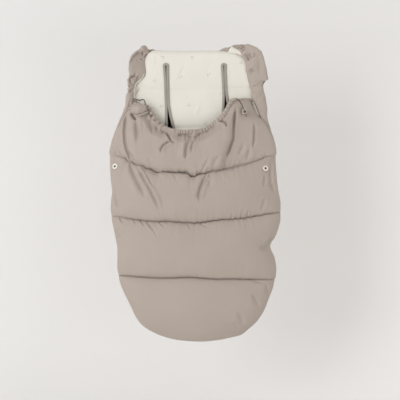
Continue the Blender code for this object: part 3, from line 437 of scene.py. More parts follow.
def cloth(name, points, material, body, thickness=0.0, closed=False, uv=None, flip=False):
    """A grid of points as a sheet of cloth, or as a closed shape, with its outer side as its normals."""
    rows, columns = points.shape[:2]
    bm = bmesh.new()
    bmesh.ops.create_grid(bm, x_segments=columns - 1, y_segments=rows - 1, size=1)
    order = sorted(bm.verts, key=lambda v: (round(v.co.y, 6), round(v.co.x, 6)))
    for vert, point in zip(order, points.reshape(-1, 3)):
        vert.co = point
    place = {vert: k for k, vert in enumerate(order)}
    if uv is None:
        across, down = (
            np.cumsum(np.pad(np.linalg.norm(np.diff(points, axis=axis), axis=-1), start), axis=axis)
            for axis, start in ((1, ((0, 0), (1, 0))), (0, ((1, 0), (0, 0))))
        )
        uv = np.stack([across - across[:, columns // 2][:, None], -down], axis=-1)
    uv = uv.reshape(-1, 2)
    layer = bm.loops.layers.uv.new("UVMap")
    for face in bm.faces:
        for loop in face.loops:
            loop[layer].uv = uv[place[loop.vert]]
    if closed:
        bmesh.ops.remove_doubles(bm, verts=bm.verts, dist=1e-6)
    if not flip:
        bmesh.ops.reverse_faces(bm, faces=bm.faces)
    return made(name, bm, material, body, thickness)


def made(name, bm, material, body, thickness=0.0):
    """A finished piece from a bmesh, riding on a body."""
    mesh = bpy.data.meshes.new(name)
    bm.to_mesh(mesh)
    bm.free()
    mesh.shade_smooth()
    mesh.materials.append(material)
    obj = bpy.data.objects.new(name, mesh)
    bpy.context.scene.collection.objects.link(obj)
    if thickness:
        solid = obj.modifiers.new("thickness", "SOLIDIFY")
        solid.thickness = thickness
        solid.offset = -1
    if body:
        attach(obj, body)
    return obj


# The wall behind, which runs down into the floor

def backdrop_look():
    """Pale paint with painted light and shade: a little darker at the left and higher up, and clear when seen
    from behind.
    """
    look = Look("backdrop", 0.95)
    x, _, z = look.split(look.place)
    # Painted light on the wall: its colour grows lighter towards the right and lower down.
    across = look.node("ShaderNodeMapRange", {0: x, 1: -0.5, 2: 0.75}).outputs[0]
    rise = look.node("ShaderNodeMapRange", {0: z, 1: -0.25, 2: 0.15}).outputs[0]
    painted_light_tint = look.mix(across, (0.84, 0.835, 0.83), (0.97, 0.96, 0.95))
    look.colour(look.mix(look.math("MULTIPLY", rise, 0.6), painted_light_tint, (0.78, 0.775, 0.77)))
    behind = look.node("ShaderNodeNewGeometry").outputs["Backfacing"]
    clear = look.node("ShaderNodeBsdfTransparent").outputs[0]
    either = look.node("ShaderNodeMixShader", {0: behind, 1: look.shader.outputs[0], 2: clear})
    look.links.new(either.outputs[0], look.nodes["Material Output"].inputs["Surface"])
    return look.material


def backdrop():
    """The wall and the floor, joined in a wide curve, their faces towards the camera."""
    wall_y, floor_z, bend, steps = 0.50, -1.16, 0.5, 12
    top_z, near_y, left_x, width = 2.2, -4.5, -3.5, 7
    line = [(wall_y, top_z), (wall_y, floor_z + bend)]
    for k in range(1, steps + 1):
        a = math.pi / 2 * k / steps
        line.append((wall_y - bend * (1 - math.cos(a)), floor_z + bend * (1 - math.sin(a))))
    line.append((near_y, floor_z))
    bm = bmesh.new()
    left, right = ([bm.verts.new((x, y, z)) for y, z in line] for x in (left_x, left_x + width))
    for high, low, low_right, high_right in zip(left, left[1:], right[1:], right):
        bm.faces.new((high, low, low_right, high_right))
    made("backdrop", bm, backdrop_look(), None)


backdrop()


# The outline and the seams, in the photograph's pixels

LEFT_EDGE = (
    (44, 146), (50, 137), (56, 131.2), (63, 128.4), (70, 128.2), (76, 128.6), (80, 126.4),
    (85, 127), (91, 128), (98, 126.6), (106, 124.6), (115, 121.9), (124, 118.8), (135, 114.6),
    (145, 111.1), (154, 110), (162, 110.5), (170, 111.3), (180, 112.4), (191, 113.9), (200, 112.7),
    (208, 111.2), (215, 111.5), (222, 113), (234, 116.2), (246, 119.1), (258, 119), (269, 118.1),
    (277, 119), (285, 122.3), (295, 128.1), (305, 133.3), (312, 136.2), (320, 141.4), (326, 148.8),
    (332, 157.8), (337, 169.4), (341, 186), (343, 198),
)
RIGHT_EDGE = (
    (44, 250), (48, 258), (55, 264), (63, 266), (72, 267.6), (80, 267.6), (84, 263.6), (92, 264.5),
    (100, 265.6), (108, 266.6), (116, 267.4), (124, 268.6), (132, 270.6), (140, 273), (148, 275),
    (154, 275.6), (170, 274.6), (183, 275.6), (190, 276.8), (201, 279.6), (211, 280.3),
    (221, 279.6), (229, 276.9), (236, 274.2), (241, 270.9), (246, 268.1), (251, 270), (256, 272.8),
    (267, 275.4), (277, 275.5), (285, 272.6), (292, 269.4), (300, 265.9), (309, 262.2),
    (317, 256.7), (324, 249.8), (330, 245.0), (334, 240.4), (338, 232.0), (341, 219.3),
    (343, 196),
)
SEAM_ONE = (
    (104, 150), (114, 154.4), (122, 156.8), (127, 158.4), (129.8, 162.2), (132.4, 161.4), (136, 164.2),
    (143.8, 165.9), (147, 168.4), (152, 169.6), (156.6, 172.6), (160, 173.2), (163.4, 172.3), (170.8, 172.8),
    (179, 173), (185.6, 173.8), (188.4, 174.6), (191, 177.8), (195.6, 176.8), (200.6, 174), (205, 174.2),
    (211, 171.8), (219, 171), (229, 169.7), (238, 166.6), (247, 164), (258, 159.4), (268.6, 155.6),
    (284, 152),
)
SEAM_TWO = (
    (104, 214), (122, 217.2), (134, 219), (147, 221), (160, 221.8), (172, 221.4), (184, 222.8),
    (194.6, 223.4), (206, 222), (217.6, 220), (230, 219.4), (243, 218), (256, 215.4), (276, 212.6),
    (290, 211),
)
SEAM_THREE = (
    (104, 275.4), (120, 275.8), (132, 276), (141, 277), (154, 277.8), (166.5, 278.2),
    (180, 277.6), (192, 277.4), (206, 278.6), (217.6, 279.2), (232, 279), (248, 279.4),
    (266, 279.6), (290, 279.4),
)
NECKLINE = (
    (120, 103), (131, 102), (139, 103), (144, 106), (147.5, 111), (151, 117.5), (156, 122.5),
    (161.4, 126), (167, 128), (173, 129.4), (181, 130.4), (189.5, 131), (196, 130.4), (202, 129.2),
    (208, 126), (213, 122.3), (217.8, 119.2), (222.2, 115.2), (226.2, 111), (229.6, 106), (232.4, 102.4),
    (236, 100.4), (240, 99.5), (245, 99.2), (250, 99.8), (262, 103),
)
edge_rows, edge_left = smooth_rows(LEFT_EDGE, 1.0, 2.0)
edge_rows_right, edge_right = smooth_rows(RIGHT_EDGE, 1.0, 1.6)
seam_lines = []
for table, jitter, blur in (
    (NECKLINE, 0.0, 1.6), (SEAM_ONE, 0.40, 0.7), (SEAM_TWO, 0.40, 1.6), (SEAM_THREE, 0.22, 1.6),
):
    places, rows = smooth_rows(table, 0.5, blur)
    wander = noise_grid(places / 2.6, places * 0 + 5, 111)
    wander = wander + 0.6 * noise_grid(places / 1.3, places * 0 + 9, 112)
    jitter = jitter * np.clip(np.minimum(places - 112, 272 - places) / 14, 0, 1)
    seam_lines.append((places, rows + jitter * wander))


def column_of(x):
    """The photograph's column of a place across, on the plane of the rim."""
    return CENTRE + (x - MIDDLE.x) / PIXEL


def row_of(z):
    """The photograph's row of a height, on the plane of the rim."""
    return CENTRE - (z - MIDDLE.z) / PIXEL


def across_of(column):
    """The place across of a column of the photograph, on the plane of the rim."""
    return MIDDLE.x + (column - CENTRE) * PIXEL


def height_of(row):
    """The height of a row of the photograph, on the plane of the rim."""
    return MIDDLE.z - (row - CENTRE) * PIXEL


def half_width(z, side):
    """Half the bag's width on one side at a height, as an array."""
    row = row_of(np.asarray(z, float))
    if side < 0:
        return -across_of(np.interp(row, edge_rows, edge_left))
    return across_of(np.interp(row, edge_rows_right, edge_right))


def width_at(u, z):
    """Half the bag's width at heights, on the side that u lies on."""
    return mixed(u, half_width(z, LEFT), half_width(z, RIGHT))


def seam(k, x):
    """The height of the neckline (0) or of a seam (1 to 3) at places across."""
    row = np.interp(column_of(x), *seam_lines[k])
    if k > 1:
        nearer = 0.010 * np.sqrt(np.clip(1 - (x / 0.235) ** 2, 0, 1))
        row = CENTRE + (row - CENTRE) / (1 + nearer)
    return height_of(row)


# Sizes that the CAD model's pieces share: the depth of the side edge and of the front's middle,
# the cloth's depth at a seam, the top of the back, the foot's seam and the foot's length
EDGE_Y = -0.048
COVER_DEPTH = 0.078
SEWN = 0.004
PAD_TOP = 0.018
FOOT_TOP = -0.657
FOOT_LENGTH = 0.1902

# How far the foot's round may be drawn in or out to the photograph's outline
FOOT_NARROWEST, FOOT_WIDEST = 0.8, 1.26
# Thickness of the padded cloths and of the thin linings
CLOTH_THICKNESS = 0.0015
LINING_THICKNESS = 0.0012


def spread(n, ends=1.0):
    """Shares from 0 to 1, closer together at both ends."""
    t = np.linspace(0, 1, n)
    close = (1 - np.cos(np.pi * t)) / 2
    return t * (1 - ends) + close * ends


def mixed(u, left, right):
    """A value for the left side or for the right, by the sign of u."""
    return np.where(u < 0, left, right)


def bulge(u):
    """The front's round from side to side: 1 in the middle, 0 at the edges."""
    return np.maximum(0.0, 1 - u * u) ** 0.45


def fullness(u):
    """How full the wadding is: 1 nearly everywhere, 0 at the side edges."""
    return np.sqrt(np.maximum(0.0, 1 - np.abs(u) ** 6))


def crown(s, power=0.5):
    """The round between two seams: 0 on them, 1 halfway."""
    return np.maximum(0.0, np.sin(np.pi * s)) ** power


def outward(u):
    """The way out of the front's round."""
    return np.stack([u, -np.sqrt(np.maximum(0, 1 - u * u)), 0 * u], axis=-1)


def loose_corner(u, s):
    """How loose the cloth lies near the side ends of the upper seam, s being the share away from it."""
    return np.clip((np.abs(u) - np.where(u < 0, 0.82, 0.86)) / 0.10, 0, 1) * np.exp(-(s / 0.12) ** 2)


# By how much every fold of the tables below is made narrower and deeper
FOLD_WIDTH, FOLD_DEPTH = 0.8, 1.25

# Folds of the front, along lines of pixels: half width in pixels, depth in metres, the side that
# stands up, and how much of its length a fold takes to fade in (below 0: it starts at a seam)
COVER_FOLDS = (
    (((126.6, 113), (125, 120), (124, 131), (124.6, 142), (126.6, 150), (130, 158), (133, 162)),
     1.25, 0.0090, 0.4, 0.16),
    (((236, 105), (235.2, 114), (234.2, 128), (233.6, 139), (230.5, 148), (228, 154), (225.6, 160)),
     1.25, 0.0085, -0.4, 0.16),
    (((236.4, 108), (235.2, 118), (234.6, 128)), 2.4, 0.0030, -0.4, 0.4),
    (((164.4, 130), (167.2, 134), (169.6, 138), (171.8, 140.8), (175.6, 142.8)),
     1.3, 0.0090, 0.7, 0.2),
    (((160.2, 153.4), (161.0, 149.0), (163.4, 145.0), (168.0, 141.8), (173, 141.2)),
     1.4, 0.0085, 0.7, 0.22),
    (((185.2, 160), (185.5, 152), (186.4, 145.6), (189.8, 138.4)), 1.9, 0.0085, -0.6, 0.25),
    (((191, 154), (191.6, 147), (193.6, 140.6), (197, 136.4), (201.4, 133)),
     1.6, 0.0072, 0.6, 0.25),
    (((176.4, 136.6), (179.4, 134.8), (183, 134.2), (187, 134.4), (190.4, 136), (192.5, 138.2)),
     1.2, 0.0064, -0.6, 0.3),
    (((192.6, 138.2), (194.8, 136), (198.4, 134.2), (203, 132.6)), 1.2, 0.0064, 0.6, 0.35),
    (((217, 122.0), (221.4, 120.4), (225.2, 122.2), (227.4, 127.6)), 1.4, 0.0080, 0.7, 0.25),
    (((130.4, 112.0), (131.6, 114.4), (133.2, 117.0), (135.6, 119.8)), 1.6, 0.0150, 0.3, 0.22),
    (((130.8, 104.4), (128.2, 108.4), (124.8, 113.6), (122.2, 117.6), (119.8, 122.4), (117.4, 129)),
     1.0, 0.0046, 0.3, 0.2),
    (((134.0, 104.6), (131.4, 107.2), (128.8, 110.0)), 1.0, 0.0060, 0.3, 0.3),
    (((135.4, 114), (136.2, 122), (137, 132), (137.4, 141)), 3.8, 0.0062, 0.3, 0.35),
    (((135.2, 118), (136.0, 130), (136.8, 147)), 1.9, 0.0042, 0.6, 0.35),
    (((142, 116), (143, 126), (142, 136)), 2.4, 0.0035, -0.5, 0.4),
    (((128.8, 151.6), (131.6, 157), (135.4, 162.4)), 1.0, 0.0052, 0.6, 0.3),
    (((150, 122), (151.4, 128), (151.8, 135)), 1.6, 0.0040, 0.5, 0.4),
    (((154.6, 124), (157, 129), (158, 134)), 1.5, 0.0036, 0.5, 0.4),
    (((160, 127), (163, 131.5), (165.4, 137)), 1.5, 0.0042, 0.5, 0.4),
    (((238, 159), (241.6, 150), (244.6, 142)), 2.6, 0.0045, 0.7, 0.4),
    (((246.6, 162), (249, 153), (250, 146)), 2.6, 0.0040, 0.7, 0.4),
    (((254.4, 121), (254.6, 130), (254.2, 140), (252.8, 150)), 1.6, 0.0066, 0.5, 0.3),
    (((211, 172), (215.5, 162), (222, 152)), 3.2, 0.0040, 0.6, 0.45),
    (((201, 172), (206, 164), (209, 156)), 2.4, 0.0035, -0.5, 0.45),
    (((242, 104), (243, 110), (241, 117)), 2.2, 0.0035, 0.6, 0.4),
    (((147, 157), (150, 163), (154, 169)), 2.0, 0.0030, -0.5, 0.4),
)
FRONT_FOLDS = (
    (((128.6, 160), (132.4, 171), (137, 181), (141.6, 190), (146, 199)), 2.8, 0.0068, 0.8, 0.28),
    (((135.6, 164), (142.6, 177), (149.6, 189), (155, 200), (161, 213)), 1.7, 0.0062, -0.9, 0.25),
    (((143.2, 168), (149, 179), (154.6, 190)), 1.4, 0.0036, 0.7, 0.4),
    (((207.6, 172), (203.4, 181), (200.2, 189), (198.8, 195), (199.4, 203)),
     2.0, 0.0095, -0.8, 0.25),
    (((211.4, 172.4), (208.6, 177), (204.6, 183)), 1.5, 0.0050, 0.7, 0.35),
    (((207, 176), (209.6, 182), (209, 190)), 2.6, 0.0025, 0.5, 0.4),
    (((265.6, 173), (264.8, 180), (263.2, 188)), 2.0, 0.0040, 0.5, 0.4),
    (((272, 160), (270.8, 172), (271.6, 184), (275.6, 196)), 2.4, 0.0060, -0.5, 0.3),
    (((246.9, 217.6), (248.4, 211), (250.4, 204.4)), 1.2, 0.0036, 0.5, -0.9),
    (((240.6, 218.6), (242, 213), (243.6, 207)), 1.2, 0.0036, 0.5, -0.9),
    (((231.4, 219.4), (232.2, 215), (233.6, 211)), 1.1, 0.0028, 0.5, -0.9),
    (((266, 196), (263.4, 204), (260.6, 213)), 1.8, 0.0034, 0.5, 0.4),
    (((113.6, 188), (115, 198), (118.4, 210)), 2.2, 0.0050, 0.5, 0.35),
    (((119.4, 217.2), (121, 220.6), (124.4, 227)), 1.2, 0.0046, 0.6, -0.9),
    (((133.2, 219.2), (134.6, 222), (137, 227)), 1.1, 0.0040, 0.6, -0.9),
    (((140.2, 220.2), (142.6, 223.6), (146, 228.6)), 1.2, 0.0046, 0.6, -0.9),
    (((146.2, 221), (150, 226), (155, 233), (158.6, 241)), 1.4, 0.0052, 0.6, -0.9),
    (((158.8, 221.9), (162, 225), (167, 229.6)), 1.1, 0.0042, 0.6, -0.9),
    (((165.4, 221.8), (168, 224), (171, 226.4)), 1.0, 0.0030, 0.6, -0.9),
    (((187, 223.1), (189, 226.4), (192, 232)), 1.1, 0.0040, 0.5, -0.9),
    (((200, 223), (205, 226), (213, 227.6)), 1.4, 0.0026, 0.5, -0.8),
    (((115, 228), (117.6, 234), (121, 240)), 1.8, 0.0038, -0.5, 0.35),
    (((272.6, 236), (268.6, 243), (264, 248)), 2.4, 0.0060, 0.5, 0.4),
    (((271, 246), (266, 248), (258, 249)), 2.6, 0.0050, -0.5, 0.4),
    (((249, 279.6), (253, 280.6), (259, 282), (266, 284)), 1.6, 0.0028, 0.5, 0.4),
    (((264.6, 281), (267.6, 288), (269, 298)), 2.6, 0.0045, -0.5, 0.4),
    (((251.6, 292), (255.4, 299), (260, 309)), 3.2, 0.0045, 0.6, 0.4),
    (((237.6, 310), (241, 318), (244.6, 327)), 3.4, 0.0042, 0.6, 0.4),
    (((240, 330), (235, 325), (232, 322)), 2.6, 0.0024, -0.5, 0.4),
)


def folded(points, folds, out):
    """The points with the folds pressed in."""
    px, py = seen(points)
    lift = np.zeros(px.shape)
    for line, width, depth, lean, ends in folds:
        lift += crease(px, py, line, width * FOLD_WIDTH, depth * FOLD_DEPTH, lean, ends)
    return points + out * lift[..., None]


def puckered(points, out, seam_places, reach, depth, seed):
    """The points gathered along a seam, the gathers fading away from it over a reach in pixels."""
    px, py = seen(points)
    off = py - np.interp(px, *seam_places)
    fade = np.exp(-np.abs(off) / reach) * np.clip(np.abs(off) / 1.3, 0.08, 1)
    strength = 0.35 + 0.65 * np.clip(0.5 + noise_grid(px / 19.0, px * 0 + seed, seed), 0, 1)
    lean = px + 0.6 * off * np.sign(np.sin(px / 31.0 + seed))
    fine = ridges(lean / 4.6, py / 26.0 + seed, seed) - 0.32
    finer = ridges(lean / 2.1, py / 15.0 + seed, seed + 1) - 0.36
    lift = depth * strength * (fade * fine + 0.5 * fade**2.5 * finer)
    return points + out * lift[..., None]


# The front below the upper seam: three chambers of one cloth, sewn down to the lining

def chamber(u, s, top, foot, fill, soft=0.5):
    """Points of a chamber's outside, between two seams."""
    x = u * width_at(u, seam(top, 0.0 * u))
    for _ in range(3):
        high, low = seam(top, x), seam(foot, x)
        z = high + (low - high) * s
        x = u * (width_at(u, z) - SEWN)
    y = EDGE_Y - (COVER_DEPTH + EDGE_Y) * bulge(u)
    thick = SEWN + fill * crown(s, soft) * fullness(u)
    if top == 1:
        loose = loose_corner(u, s)
        thick = thick * (1 - loose) + (SEWN + 0.0110 * fullness(u)) * loose
    return np.stack([x, y, z], axis=-1) + outward(u) * thick[..., None]


def fitted(x, u, down, edge):
    """The foot's places across, drawn in or out to the outline at each height."""
    circle = np.sqrt(np.maximum(0.02, 1 - down * down))
    return x * np.clip(edge / (width_at(u, FOOT_TOP) * circle), FOOT_NARROWEST, FOOT_WIDEST)


def foot(u, s, fill):
    """Points of the rounded chamber at the foot."""
    across = u * np.sqrt(1 - s * s / 2)
    down = s * np.sqrt(1 - u * u / 2)
    x = across * width_at(u, FOOT_TOP)
    z = seam(3, x) * (1 - down) + (FOOT_TOP - FOOT_LENGTH + SEWN) * down
    x = fitted(x, u, down, width_at(u, z) - SEWN)
    y = EDGE_Y - (COVER_DEPTH + EDGE_Y) * bulge(u) * bulge(s)
    out = unit(np.stack([across, -np.sqrt((1 - u * u) * (1 - s * s)), -down], axis=-1))
    thick = SEWN + fill * crown(s, 0.40) * fullness(u)
    return np.stack([x, y, z], axis=-1) + out * thick[..., None]


def flat_front(u, s):
    """Points of the front below the upper seam as it would lie without wadding."""
    return np.concatenate([chamber(u, s, 1, 2, 0.0)[:-1], chamber(u, s, 2, 3, 0.0)[:-1], foot(u, s, 0.0)])


# How far the wadding lifts each chamber's middle
MIDDLE_FILL, LOWER_FILL, FOOT_FILL = 0.027, 0.029, 0.028
# Where the two press studs sit: column, row, depth there, and how the depth changes across
STUD_SEATS = ((114.85, 166.35, -0.0690, -0.00168), (265.65, 168.3, -0.0775, 0.00118))
STUD_SEAT = 5.2
CHAMBER_ROWS = 84


def front_cloth():
    """The outer cloth of the three lower chambers."""
    u, s = np.meshgrid(crowded(321, 0.86), spread(CHAMBER_ROWS, 0.75))
    points = np.concatenate([
        chamber(u, s, 1, 2, MIDDLE_FILL, 0.40)[:-1], chamber(u, s, 2, 3, LOWER_FILL, 0.38)[:-1],
        foot(u, s, FOOT_FILL),
    ])
    steep, out = normals(points), normals(flat_front(u, s))
    px, py = seen(points)
    swell = noise_grid(px / 34.0, py / 24.0, 3) * 0.0032 + noise_grid(px / 15.0, py / 13.0, 5) * 0.0010
    edge = np.clip((1 - np.abs(np.concatenate([u[:-1], u[:-1], u]))) * 12, 0, 1)
    points = points + out * (swell * edge)[..., None]
    valleys = [(px[k * (CHAMBER_ROWS - 1)], py[k * (CHAMBER_ROWS - 1)]) for k in range(3)]
    for valley, way, reach, depth, seed in zip(
        valleys, (steep, out, out), (4.6, 3.6, 2.2), (0.0066, 0.0036, 0.0016), (11, 12, 13),
    ):
        points = puckered(points, way * edge[..., None], valley, reach, depth, seed)
    for valley, drawn in zip(valleys[1:], ((118, 140, 272, 284), (112, 122, 246, 272))):
        sewn = 0.0034 * np.interp(px, drawn, (0.1, 1, 1, 0.2))
        points = points - out * (sewn * np.exp(-((py - np.interp(px, *valley)) / 0.62) ** 2))[..., None]
    points = folded(points, FRONT_FOLDS, out)
    for x, row, near, slope in STUD_SEATS:
        flat = eased(np.clip((STUD_SEAT - np.hypot(px - x, py - row)) / (STUD_SEAT / 2), 0, 1))
        points[..., 1] = points[..., 1] * (1 - flat) + (near + slope * (px - x)) * flat
    piece = cloth("front_cloth", points, shell_cloth, "bag", CLOTH_THICKNESS)
    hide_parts("middle_cover_cloth", "middle_cover_wadding", "lower_cover_cloth",
                "lower_cover_wadding", "foot_cover_cloth", "foot_cover_wadding")


front_cloth()


# The upper cover, from the gathered neckline to its seam, with the apron that stands out between
# two deep folds


# The heights between which the upper zips run, and how far the tapes' edge lies inside them
ZIP_TOP, ZIP_LOW = -0.132, -0.2925
ZIP_INSET = 0.0125


def zip_reach(z, side):
    """How far out the straight upper zip lies at a height."""
    top, low = (0.178, 0.245) if side < 0 else (0.168, 0.232)
    share = (ZIP_TOP - z) / (ZIP_TOP - ZIP_LOW)
    return top + (low - top) * np.clip(share, -0.05, 1)


COVER_LEFT = (
    (98, 135.6), (104, 132.6), (107.5, 128.6), (112, 125.2), (118, 121.8), (125.7, 118.8), (133, 115.8),
    (141.5, 112.8), (148, 111.4), (156, 110.8),
)
COVER_RIGHT = (
    (98, 248.0), (101, 249.8), (108, 252.7), (114, 255.4), (117, 258.2), (120, 261.8), (124, 264.4),
    (131, 268.2), (137, 271.2), (143, 273.8), (150, 275.2), (156, 275.4),
)


# The two deep folds at the sides of the apron, as rows and columns, and how far it stands out
LEFT_FOLD = (
    (100, 130), (112, 127.5), (120, 125), (131, 124), (142, 124.6), (150, 126.6), (158, 130), (164, 134),
)
RIGHT_FOLD = (
    (100, 237), (104, 236.5), (114, 235.2), (128, 234.2), (139, 233.6), (148, 230.5), (154, 228), (162, 225),
)
APRON_DEPTH = 0.0125
# The upper cover's depth in front of its lining: at its edges, what the wadding adds in its middle,
# and what is left of that at the loose corners
COVER_CLOTH, COVER_FILL, LOOSE_FILL = 0.0030, 0.0155, 0.0120


def cover_side(z, side):
    """How far out the cover's cloth reaches at a height."""
    table = np.array(COVER_LEFT if side < 0 else COVER_RIGHT)
    column = np.interp(row_of(z), table[:, 0], table[:, 1])
    return side * (MIDDLE.x + (column - CENTRE) * PIXEL * 0.9965)


def upper_cover_points():
    """Points of the upper cover's outside."""
    u, s = np.meshgrid(np.linspace(-1, 1, 341), spread(130, 0.6))
    x = u * 0.2
    for _ in range(8):
        high, low = seam(0, x), seam(1, x)
        z = high + (low - high) * s
        x = mixed(u, u * cover_side(z, LEFT), u * cover_side(z, RIGHT))
    y = EDGE_Y - (COVER_DEPTH + EDGE_Y) * bulge(u)
    row = row_of(z)
    over = np.clip((np.abs(u) - 0.72) / 0.28, 0, 1) ** 2 * np.clip((157 - row) / 9, 0, 1)
    over = over * np.clip((row - np.where(u < 0, 103, 117)) / 9, 0, 1)
    y = y - 0.0105 * over
    column = column_of(x)
    gathered = np.clip((column - 141) / 7, 0, 1) * np.clip((233 - column) / 7, 0, 1)
    settle = eased(np.clip((row - np.interp(column, *seam_lines[0]) - 3.5) / 10, 0, 1))
    settle = 1 - gathered * (1 - settle) * 0.9
    padding = crown(np.clip(s * 1.04 - 0.02, 0, 1)) * np.sqrt(1 - np.abs(u) ** 5) * settle
    loose = loose_corner(u, 1 - s)
    thick = COVER_CLOTH + COVER_FILL * padding * (1 - loose) + LOOSE_FILL * fullness(u) * loose
    points = np.stack([x, y, z], axis=-1) + outward(u) * thick[..., None]
    px, py = seen(points)
    left_fold, right_fold = (np.interp(py, *np.array(table).T) for table in (LEFT_FOLD, RIGHT_FOLD))
    inside = np.clip(np.minimum(px - left_fold, right_fold - px) / 9.0, 0, 1)
    apron = np.sin(np.pi / 2 * inside) ** 0.8 * np.clip((py - 106) / 26, 0, 1) ** 0.7 * settle
    low = np.clip((np.interp(px, *seam_lines[1]) - py) / 6, 0, 1)
    points[..., 1] -= APRON_DEPTH * apron * np.sqrt(1 - (1 - low) ** 2)
    return u, s, points


def upper_cover():
    """The upper cover's cloth, gathered into the neckline."""
    u, s, points = upper_cover_points()
    out = normals(points)
    px, py = seen(points)
    edge = np.clip((1 - np.abs(u)) * 14, 0, 1)
    swell = noise_grid(px / 22.0, py / 26.0, 8) * 0.0030 + noise_grid(px / 11.0, py / 15.0, 9) * 0.0014
    points = points + out * (swell * edge * np.clip(s * 6, 0, 1))[..., None]
    under = py - np.interp(px, *seam_lines[0])
    gather = np.clip((px - 143) / 6, 0, 1) * np.clip((231 - px) / 6, 0, 1)
    fade = np.exp(-np.maximum(under - 4, 0) / 9.0) * gather
    fan = px + (px - 187) * under * -0.006
    fine, broad = ridges(fan / 3.4, under / 30.0 + 3, 21) - 0.4, ridges(fan / 7.5, under / 40.0 + 5, 22) - 0.4
    points = points + out * (0.0058 * fade * (fine + 0.6 * broad) * edge)[..., None]
    points = puckered(points, out * edge[..., None], seam_lines[1], 4.6, 0.0062, 14)
    points = folded(points, COVER_FOLDS, out)
    piece = cloth("upper_cover_cloth_sewn", points, shell_cloth, None, CLOTH_THICKNESS)
    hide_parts("upper_cover_cloth", "upper_cover_wadding")
    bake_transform(piece)
    return points


cover_points = upper_cover()


def cover_linings():
    """The cream lining behind the upper cover and behind the lower front."""
    u, s = np.meshgrid(np.linspace(-1, 1, 81), np.linspace(0, 1, 30))
    x = u * 0.2
    for _ in range(6):
        high, low = seam(0, x) - 0.004, seam(1, x)
        z = high + (low - high) * s
        x = u * (mixed(u, zip_reach(z, LEFT), zip_reach(z, RIGHT)) - ZIP_INSET)
    y = EDGE_Y - (COVER_DEPTH + EDGE_Y) * bulge(u) + 0.001 * noise_grid(x * 30, z * 30, 31)
    y = y + 0.0030 + 0.0050 * s
    upper = np.stack([x, y, z], axis=-1)
    piece = cloth("upper_cover_lining_sewn", upper, lining_cloth, None, LINING_THICKNESS)
    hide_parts("upper_cover_lining")
    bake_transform(piece)
    u, s = np.meshgrid(np.linspace(-1, 1, 81), np.linspace(0, 1, 24))
    points = flat_front(u, s)
    points = points - normals(points) * 0.0100
    piece = cloth("front_lining_sewn", points, lining_cloth, "bag", LINING_THICKNESS)
    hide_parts("front_lining")


cover_linings()


# The back: the outer cloth behind, and the quilted lining in front with its two bound slots

# The two edges of each harness slot, in pixels
SLOT_STRANDS = {
    "left": (
        ((164.0, 65.2), (164.6, 72), (165.4, 81), (165.7, 96), (166.2, 106), (166.5, 126), (166.6, 141)),
        ((167.8, 65.2), (167.6, 72), (167.9, 81), (168.2, 96), (168.6, 105), (170.4, 115), (173.4, 127),
         (176, 141)),
    ),
    "right": (
        ((222.1, 65.2), (222.6, 72), (223.3, 84), (223.7, 96), (223.4, 103), (222.9, 110), (222, 141)),
        ((225.5, 65.2), (225.3, 72), (225.8, 84), (226.7, 95), (228.0, 103), (229.4, 111), (232.6, 141)),
    ),
}
SLOT_BACK_GAP = 1.4
SLOT_TOP, SLOT_FOOT = 64, 141


def swept(path, across, out, section):
    """A grid of points: a section carried along a path, one row for each point of the path."""
    return path[:, None] + across[:, None] * section[..., :1] + out[:, None] * section[..., 1:]


def ring(half_across, half_out, count=16, square=1.0):
    """A closed oval section, squarer as its power falls."""
    a = np.linspace(0, 2 * np.pi, count + 1)
    c, d = np.cos(a), np.sin(a)
    return np.stack([np.sign(c) * np.abs(c) ** square * half_across,
                     np.sign(d) * np.abs(d) ** square * half_out], axis=-1)


def along_line(points, count):
    """Points spaced evenly along a smooth line through a few points."""
    points = np.array(points, float)
    run = run_along(points)
    fine = np.linspace(0, run[-1], count)
    soft = max(1, count // (3 * len(points)))
    kernel = np.hanning(2 * soft + 3)[1:-1]
    return np.stack([blurred(np.interp(fine, run, values), kernel) for values in points.T], axis=-1)


def frames(path, out, closed=False):
    """Unit vectors across a path, square to it and to the way out, and the way out made square."""
    steps = np.roll(path, -1, axis=0) - np.roll(path, 1, axis=0) if closed else np.gradient(path, axis=0)
    ahead = unit(steps)
    across = unit(np.cross(ahead, out))
    return across, np.cross(across, ahead)


def tube(name, path, way, section, material, body):
    """A closed section carried along a path as a piece of cloth."""
    across, out = frames(path, way)
    return cloth(name, swept(path, across, out, section), material, body, closed=True)


def depth_at(face, px, py):
    """The depth of a face where it shows at a pixel."""
    lx, ly = seen(face)
    near = np.hypot(lx - px, ly - py)
    return face[np.unravel_index(np.argmin(near), near.shape)][1]


LINING_LEFT = (
    (51, 154), (51.6, 151.4), (52.6, 149.6), (54.2, 147.6), (57, 145.8), (60, 145), (66, 144.8),
    (72, 143.6), (76, 141.4), (80, 137.4), (84.5, 133.4), (90.5, 131.6), (97, 131.4), (103, 130.8),
    (110, 128.6), (120, 124.6), (135, 118.6), (150, 114.6), (165, 113.6), (400, 113.6),
)
LINING_RIGHT = (
    (51, 224), (51.6, 231), (52.6, 236.6), (54.2, 240.6), (57, 243.8), (60, 246), (66, 248.2),
    (78, 251.2), (86, 253.6), (90, 254.6), (96, 255.4), (103, 256.4), (110, 258), (120, 260.4),
    (135, 266), (150, 271), (165, 272.6), (400, 272.6),
)
QUILT_ROW = 89.5
QUILT_PITCH = 38.0
LINING_TOP = 51
LINING_BEND = 3.6
ROLLED_ROWS = 10


